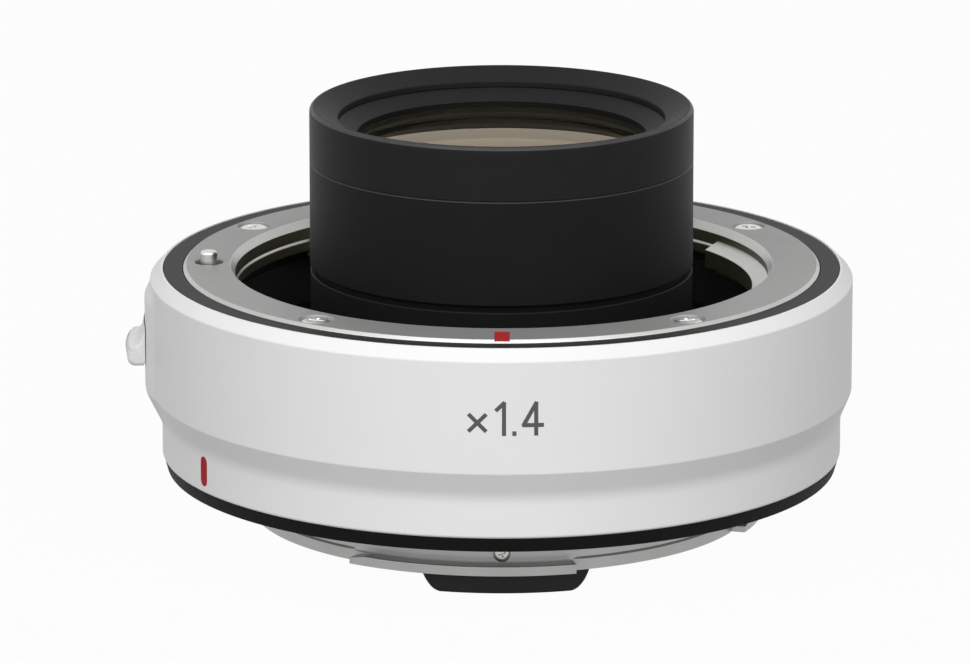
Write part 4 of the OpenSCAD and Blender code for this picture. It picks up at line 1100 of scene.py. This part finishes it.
class CONVERTER_OT_rear_mount(Builder, bpy.types.Operator):
    """Rear bayonet with its flange, neck, lugs and screws"""
    bl_idname = "converter.rear_mount"
    bl_label = "Rear mount"

    def execute(self, context):
        size = context.scene.mount_sizes
        end, high = low("rear_mount"), top("rear_mount")
        flange = reach("rear_mount")
        rim = size.neck + size.neck_rim
        rim_top = end + size.rim_height

        def between_lugs(angle, radius, z):
            """Draws the rim in where a lug takes its place."""
            degrees = math.degrees(angle)
            covered = any((degrees - first + LUG_MARGIN) % 360 < last - first + 2 * LUG_MARGIN
                          for first, last in REAR_LUGS)
            if covered and z < -size.relief_depth and radius > size.neck:
                radius = size.neck + size.rim_kept * (radius - size.neck)
            return radius, z

        body = turned(rounded([
            (size.neck_bore, high), (flange, high), (flange, 0.0, size.neck_edge),
            (size.relief, 0.0, size.edge), (size.relief, size.relief_depth),
            (size.neck, size.relief_depth, size.neck_edge),
            (size.neck, rim_top, size.rim_root), (rim, rim_top - size.neck_rim, size.rim_edge),
            (rim, end, size.rim_edge), (size.neck_bore, end, size.neck_edge)]), shape=between_lugs)
        foot = end + size.lug_rise
        lug_top = foot + size.lug_thickness
        root = size.neck - size.lug_root
        wide = size.lug
        lugs = []
        for first, last in REAR_LUGS:
            lug = turned(rounded([
                (root, foot), (wide, foot, size.lug_edge), (wide, lug_top, size.lug_shoulder),
                (root, lug_top)]), first, last)
            nose = prism(rectangle(0.0, -wide, wide, 0.0), foot - OVER, lug_top + 2 * OVER)
            nose = moved(nose, at(first, size.neck, 0.0, Matrix.Rotation(size.lug_nose, 4, "Z")))
            ramp = prism(rectangle(0.0, -wide / 2, wide, 2 * OVER), 0.0, 2 * OVER)
            ramp = moved(ramp, at(first, rim, foot + size.lug_ramp_start * size.lug_thickness,
                                  Matrix.Rotation(size.lug_ramp, 4, "X")))
            lugs.append(worked(lug, [nose, ramp]))
        body = worked(body, lugs, "UNION")
        cuts = [moved(screw_seat(size, size.rear_mouth), at(angle, size.screw_circle, 0.0, FLIP))
                for angle in REAR_SCREWS]
        cuts.append(moved(disc(size.lock_hole, -OVER, size.lock_hole_depth),
                          at(LEVER_SIDE, size.lock_circle, 0.0)))
        screw_z = middle_of("contact_block_screw").z
        for radius, base, tip in ((size.neck_seat, -size.neck_seat_depth, OVER),
                                  (size.neck_screw_thread + CLEAR, -size.neck_screw_length, 0.0)):
            cuts.append(moved(disc(radius, base, tip), at(0, size.neck, screw_z, OUTWARD)))
        body = worked(body, cuts)
        piece("rear_bayonet", body, ["neck"], ["rear_mount"])
        places = [at(angle, size.screw_circle, HEAD_SUNK, FLIP) for angle in REAR_SCREWS]
        form = size.screw_head, size.screw_thread, size.screw_length
        screw_set("rear_screws", "rear_mount_screws", form, places)
        form = size.neck_screw_head, size.neck_screw_thread, size.neck_screw_length
        place = at(0, size.neck - HEAD_SUNK, screw_z, OUTWARD)
        screw_set("neck_screw", "contact_block_screw", form, [place])
        dress("brass", "mount_shim")
        return {"FINISHED"}


class CONVERTER_OT_rear_contacts(Builder, bpy.types.Operator):
    """Black contact block under the neck, its pads and the rear cover"""
    bl_idname = "converter.rear_contacts"
    bl_label = "Rear contacts and cover"

    def execute(self, context):
        size = context.scene.contact_sizes
        end, high = low("rear_contact_block"), top("rear_contact_block")

        def corner(x, width, power):
            """Height of the block's lower edge, which curves up towards its two ends."""
            over = max(0.0, abs(x) - size.half + width) / width
            return end + size.corner_height * (1 - (1 - min(1.0, over) ** power) ** (1 / power))

        sections = []
        for i in range(BLOCK_STEPS + 1):
            x = size.half * math.sin(math.pi / 2 * (2 * i / BLOCK_STEPS - 1))
            inset = max(0.0, abs(x) - size.half + size.end_round)
            shrink = size.end_round - math.sqrt(max(0.0, size.end_round ** 2 - inset ** 2))
            near = math.sqrt(size.outer ** 2 - x * x) - shrink
            middle = math.sqrt(size.shoulder ** 2 - x * x)
            far = math.sqrt(size.inner ** 2 - x * x) + shrink
            front_z = corner(x, size.front_corner, size.front_power)
            rear_z = corner(x, size.rear_corner, size.rear_power)
            section = rounded([(far, high), (near, high), (near, front_z, size.front_edge), (middle, rear_z),
                               (far, rear_z, size.rear_edge)])
            sections.append([Vector((x, -y, z)) for y, z in section])
        block = moved(lofted(sections), Matrix.Rotation(size.block_turn, 4, "Z"))
        pockets = []
        for contact in CONTACTS:
            place = middle_of(f"contact_pin_{contact}")
            pocket = disc(size.pocket, end - OVER, top("rear_contact_pads") + TINY, CONTACT_TURNS)
            pockets.append(moved(pocket, Matrix.Translation((place.x, place.y, 0.0))))
        block = worked(block, pockets)
        piece("black_contact_block", block, ["moulding"], ["rear_contact_block"], sharp=40)
        dress("gold", "rear_contact_pads")
        dress("moulding", "rear_cover")
        dress("black_steel", "rear_cover_screws")
        return {"FINISHED"}


class CONVERTER_OT_release(Builder, bpy.types.Operator):
    """Release lever, lock pin and what joins them"""
    bl_idname = "converter.release"
    bl_label = "Release"

    def execute(self, context):
        size = context.scene.release_sizes
        base, tip = low("release_lever"), top("release_lever")
        nose = -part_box("release_lever")[0].x
        back = context.scene.shell_sizes.pad_radius + size.gap
        lip = base + size.lip
        first = Vector((nose - size.dish_start, lip))
        bend = Vector((back + size.dish_bend, lip + size.dish_lift))
        last = Vector((back + size.dish_end, tip + size.dish_rise))
        steps = LEVER_STEPS
        hollow = [first * (1 - t) ** 2 + bend * 2 * t * (1 - t) + last * t * t
                  for t in (i / steps for i in range(steps + 1))]
        profile = rounded([(back, base, size.root_round), (nose - size.foot_slant, base, size.foot_round),
                           (nose, lip, size.nose_round)] + [tuple(point) for point in hollow])
        middle = (base + tip) / 2
        half = size.half_width
        end_share = size.end_round / (half * nose)
        curve = [i / steps * math.pi / 2 for i in range(steps + 1)]
        ends = [(1 - end_share + end_share * math.sin(a), size.end_round * (1 - math.cos(a))) for a in curve]
        row = [(-across, drawn_in) for across, drawn_in in ends[::-1]]
        row += [(ends[0][0] * (2 * i / steps - 1), 0.0) for i in range(1, steps)] + ends
        sections = []
        for across, drawn_in in row:
            angle = math.radians(LEVER_SIDE) + across * half
            out_share = 1 - drawn_in / (nose - back)
            tall_share = 1 - drawn_in / (middle - base)
            sections.append([spot(angle, back + (point.x - back) * out_share,
                                  middle + (point.y - middle) * tall_share) for point in profile])
        stem_z = base + size.stem_low
        stem = prism(rectangle(size.stem_in, -size.stem_half, back + size.stem_over, size.stem_half),
                     stem_z, stem_z + size.stem_tall)
        lever = worked(lofted(sections), [moved(stem, at(LEVER_SIDE, 0.0, 0.0))], "UNION")
        piece("white_lever", lever, ["enamel"], ["release_lever"], body="release", sharp=35)
        pin_low, pin_top = low("lock_pin"), top("lock_pin")
        collar_z = low("lever_slider")
        tail_z = collar_z - size.pin_collar_height
        pin = turned(rounded([
            (0.0, pin_low), (size.pin_tail, pin_low), (size.pin_tail, tail_z), (size.pin_collar, tail_z),
            (size.pin_collar, collar_z), (size.pin, collar_z), (size.pin, pin_top, size.pin_round),
            (0.0, pin_top)]), turns=PIN_TURNS)
        lock = context.scene.mount_sizes.lock_circle
        piece("steel_lock_pin", moved(pin, at(LEVER_SIDE, lock, 0.0)), ["steel"], ["lock_pin"],
              body="release")
        dress("steel", "lever_slider", "lever_screw")
        coil = bmesh.new()
        coil.from_mesh(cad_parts["lock_spring"].data)
        spring = piece("return_spring", coil, ["steel"], ["lock_spring"])
        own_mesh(spring)
        return {"FINISHED"}


class CONVERTER_OT_inner_parts(Builder, bpy.types.Operator):
    """Circuit board, chips, screws and flat cable"""
    bl_idname = "converter.inner_parts"
    bl_label = "Inner parts"

    def execute(self, context):
        dress("board", "circuit_board")
        dress("chip", "board_chips")
        dress("steel", "board_screws")
        dress("film", "flex_cable")
        return {"FINISHED"}


class CONVERTER_OT_marking(Builder, bpy.types.Operator):
    """Numerals printed on the shell and the red bar at its rear end"""
    bl_idname = "converter.marking"
    bl_label = "Marking"
    # Ends and bends of each stroke, across and up, in heights of the numerals
    strokes = (
        ((0.00, 0.12), (0.50, 0.62)),
        ((0.00, 0.62), (0.50, 0.12)),
        ((0.84, 0.78), (1.07, 1.00), (1.07, 0.00)),
        ((1.39, 0.00), (1.39, 0.07)),
        ((2.06, 0.00), (2.06, 1.00), (1.67, 0.30), (2.26, 0.30)),
    )

    def execute(self, context):
        size = context.scene.marking_sizes
        shell = context.scene.shell_sizes.radius
        ribbons = []
        for count, stroke in enumerate(self.strokes):
            line = [Vector(point) * size.tall for point in stroke]
            for bit, (first, last) in enumerate(zip(line, line[1:])):
                along = (last - first).normalized()
                first = first - along * size.stroke * size.overrun
                last = last + along * size.stroke * size.overrun
                across = Vector((-along.y, along.x)) * size.stroke / 2
                steps = max(2, round((last - first).length / size.spacing))
                # Each bit has a thickness of its own, so that no faces coincide where bits cross
                lift = size.film + size.stroke_lift * count + size.bend_lift * bit
                sections = []
                for i in range(steps + 1):
                    middle = first + (last - first) * i / steps
                    corners = ((middle - across, -size.sunk), (middle + across, -size.sunk),
                               (middle + across, lift), (middle - across, lift))
                    sections.append([spot(size.start + place.x / shell, shell + depth, size.base + place.y)
                                     for place, depth in corners])
                ribbons.append(lofted(sections))
        piece("shell_numerals", joined(ribbons), ["ink"], [])
        dress("red", "body_index_mark")
        return {"FINISHED"}


class CONVERTER_OT_stage(Builder, bpy.types.Operator):
    """Floor, light and camera"""
    bl_idname = "converter.stage"
    bl_label = "Stage"

    def execute(self, context):
        scene = context.scene
        size = scene.stage_sizes
        self.lay_floor(scene, size)
        world = bpy.data.worlds.new("studio")
        world.use_nodes = True
        tree = world.node_tree
        tree.nodes.clear()
        strength = node(tree, "ShaderNodeMapRange", {"Value": self.seen(tree), "To Min": size.ambient,
                                                     "To Max": 1.0})
        sky = node(tree, "ShaderNodeBackground", {"Color": WHITE, "Strength": strength.outputs[0]})
        node(tree, "ShaderNodeOutputWorld", {"Surface": sky.outputs[0]})
        scene.world = world
        target = Vector((size.target_x, 0.0, size.target_z))
        lamp = bpy.data.lights.new("key_softbox", "AREA")
        lamp.shape = "RECTANGLE"
        lamp.size, lamp.size_y = size.key_width, size.key_height
        lamp.energy = size.key_power
        self.aim(scene, lamp, target, size.key_azimuth, size.key_elevation, size.key_distance)
        camera = bpy.data.cameras.new("camera")
        camera.lens = size.focal
        camera.sensor_width = size.sensor
        camera.clip_end = size.view_end
        scene.camera = self.aim(scene, camera, target, 0.0, size.elevation, size.distance)
        scene.view_settings.view_transform = "Standard"
        return {"FINISHED"}

    def lay_floor(self, scene, size):
        """Paper under the object, a hair lower so that no faces lie in one place."""
        mesh = bmesh.new()
        bmesh.ops.create_grid(mesh, x_segments=1, y_segments=1, size=size.floor_size)
        data = bpy.data.meshes.new("floor")
        mesh.to_mesh(data)
        mesh.free()
        floor = bpy.data.objects.new("floor", data)
        floor.location.z = CAD_BOX[0][2] - size.floor_drop
        scene.collection.objects.link(floor)
        # White paper: matte, and plain white where it is seen or mirrored, with part of the shadow kept.
        # From below it is clear, so that the rear mount can be looked at
        material, tree = blank_material("white_paper_floor")
        amount = node(tree, "ShaderNodeMath", {0: self.seen(tree), 1: size.backdrop}, operation="MULTIPLY")
        matte = node(tree, "ShaderNodeBsdfDiffuse", {"Color": size.floor})
        glow = node(tree, "ShaderNodeEmission", {"Color": WHITE, "Strength": 1.0})
        paper = node(tree, "ShaderNodeMixShader", {0: amount.outputs[0], 1: matte.outputs[0],
                                                   2: glow.outputs[0]})
        behind = node(tree, "ShaderNodeNewGeometry").outputs["Backfacing"]
        clear = node(tree, "ShaderNodeBsdfTransparent")
        mix = node(tree, "ShaderNodeMixShader", {0: behind, 1: paper.outputs[0], 2: clear.outputs[0]})
        node(tree, "ShaderNodeOutputMaterial", {"Surface": mix.outputs[0]})
        data.materials.append(material)

    @staticmethod
    def seen(tree):
        """Socket that is 1 for rays from the camera, from a mirror or through glass."""
        path = node(tree, "ShaderNodeLightPath").outputs
        first = node(tree, "ShaderNodeMath", {0: path["Is Camera Ray"], 1: path["Is Glossy Ray"]},
                     operation="MAXIMUM")
        both = node(tree, "ShaderNodeMath", {0: first.outputs[0], 1: path["Is Transmission Ray"]},
                    operation="MAXIMUM")
        return both.outputs[0]

    @staticmethod
    def aim(scene, data, target, azimuth, elevation, distance):
        """Puts a lamp or camera into the scene so that it faces the target from an azimuth and elevation."""
        holder = bpy.data.objects.new(data.name, data)
        away = spot(azimuth, math.cos(elevation), math.sin(elevation))
        holder.location = target + away * distance
        holder.rotation_euler = away.to_track_quat("Z", "Y").to_euler()
        scene.collection.objects.link(holder)
        return holder


class CONVERTER_PT_panel(bpy.types.Panel):
    """Lists the pieces of the converter"""
    bl_idname = "CONVERTER_PT_panel"
    bl_label = "Converter"
    bl_space_type = "VIEW_3D"
    bl_region_type = "UI"
    bl_category = "Converter"

    def draw(self, context):
        for operator in OPERATORS:
            self.layout.operator(operator.bl_idname)
        for name, group in GROUPS.items():
            box = self.layout.box()
            box.label(text=group.__doc__)
            settings = getattr(context.scene, name)
            for entry in group.__annotations__:
                box.prop(settings, entry)


GROUPS = {
    "shell_sizes": ShellSizes,
    "ring_sizes": RingSizes,
    "mount_sizes": MountSizes,
    "barrel_sizes": BarrelSizes,
    "contact_sizes": ContactSizes,
    "release_sizes": ReleaseSizes,
    "marking_sizes": MarkingSizes,
    "finish_colours": FinishColours,
    "stage_sizes": StageSizes,
}
OPERATORS = (
    CONVERTER_OT_shell,
    CONVERTER_OT_trim,
    CONVERTER_OT_front_mount,
    CONVERTER_OT_barrel,
    CONVERTER_OT_optics,
    CONVERTER_OT_cavity,
    CONVERTER_OT_rear_mount,
    CONVERTER_OT_rear_contacts,
    CONVERTER_OT_release,
    CONVERTER_OT_inner_parts,
    CONVERTER_OT_marking,
    CONVERTER_OT_stage,
)


def register():
    for group in (*GROUPS.values(), *OPERATORS, CONVERTER_PT_panel):
        bpy.utils.register_class(group)
    for name, group in GROUPS.items():
        setattr(bpy.types.Scene, name, bpy.props.PointerProperty(type=group))


def unregister():
    for name in GROUPS:
        delattr(bpy.types.Scene, name)
    for group in (CONVERTER_PT_panel, *OPERATORS, *GROUPS.values()):
        bpy.utils.unregister_class(group)


def main():
    register()
    make_finishes(bpy.context.scene.finish_colours)
    for operator in OPERATORS:
        family, call = operator.bl_idname.split(".")
        getattr(getattr(bpy.ops, family), call)()
    bpy.context.view_layer.update()


if __name__ == "__main__":
    main()
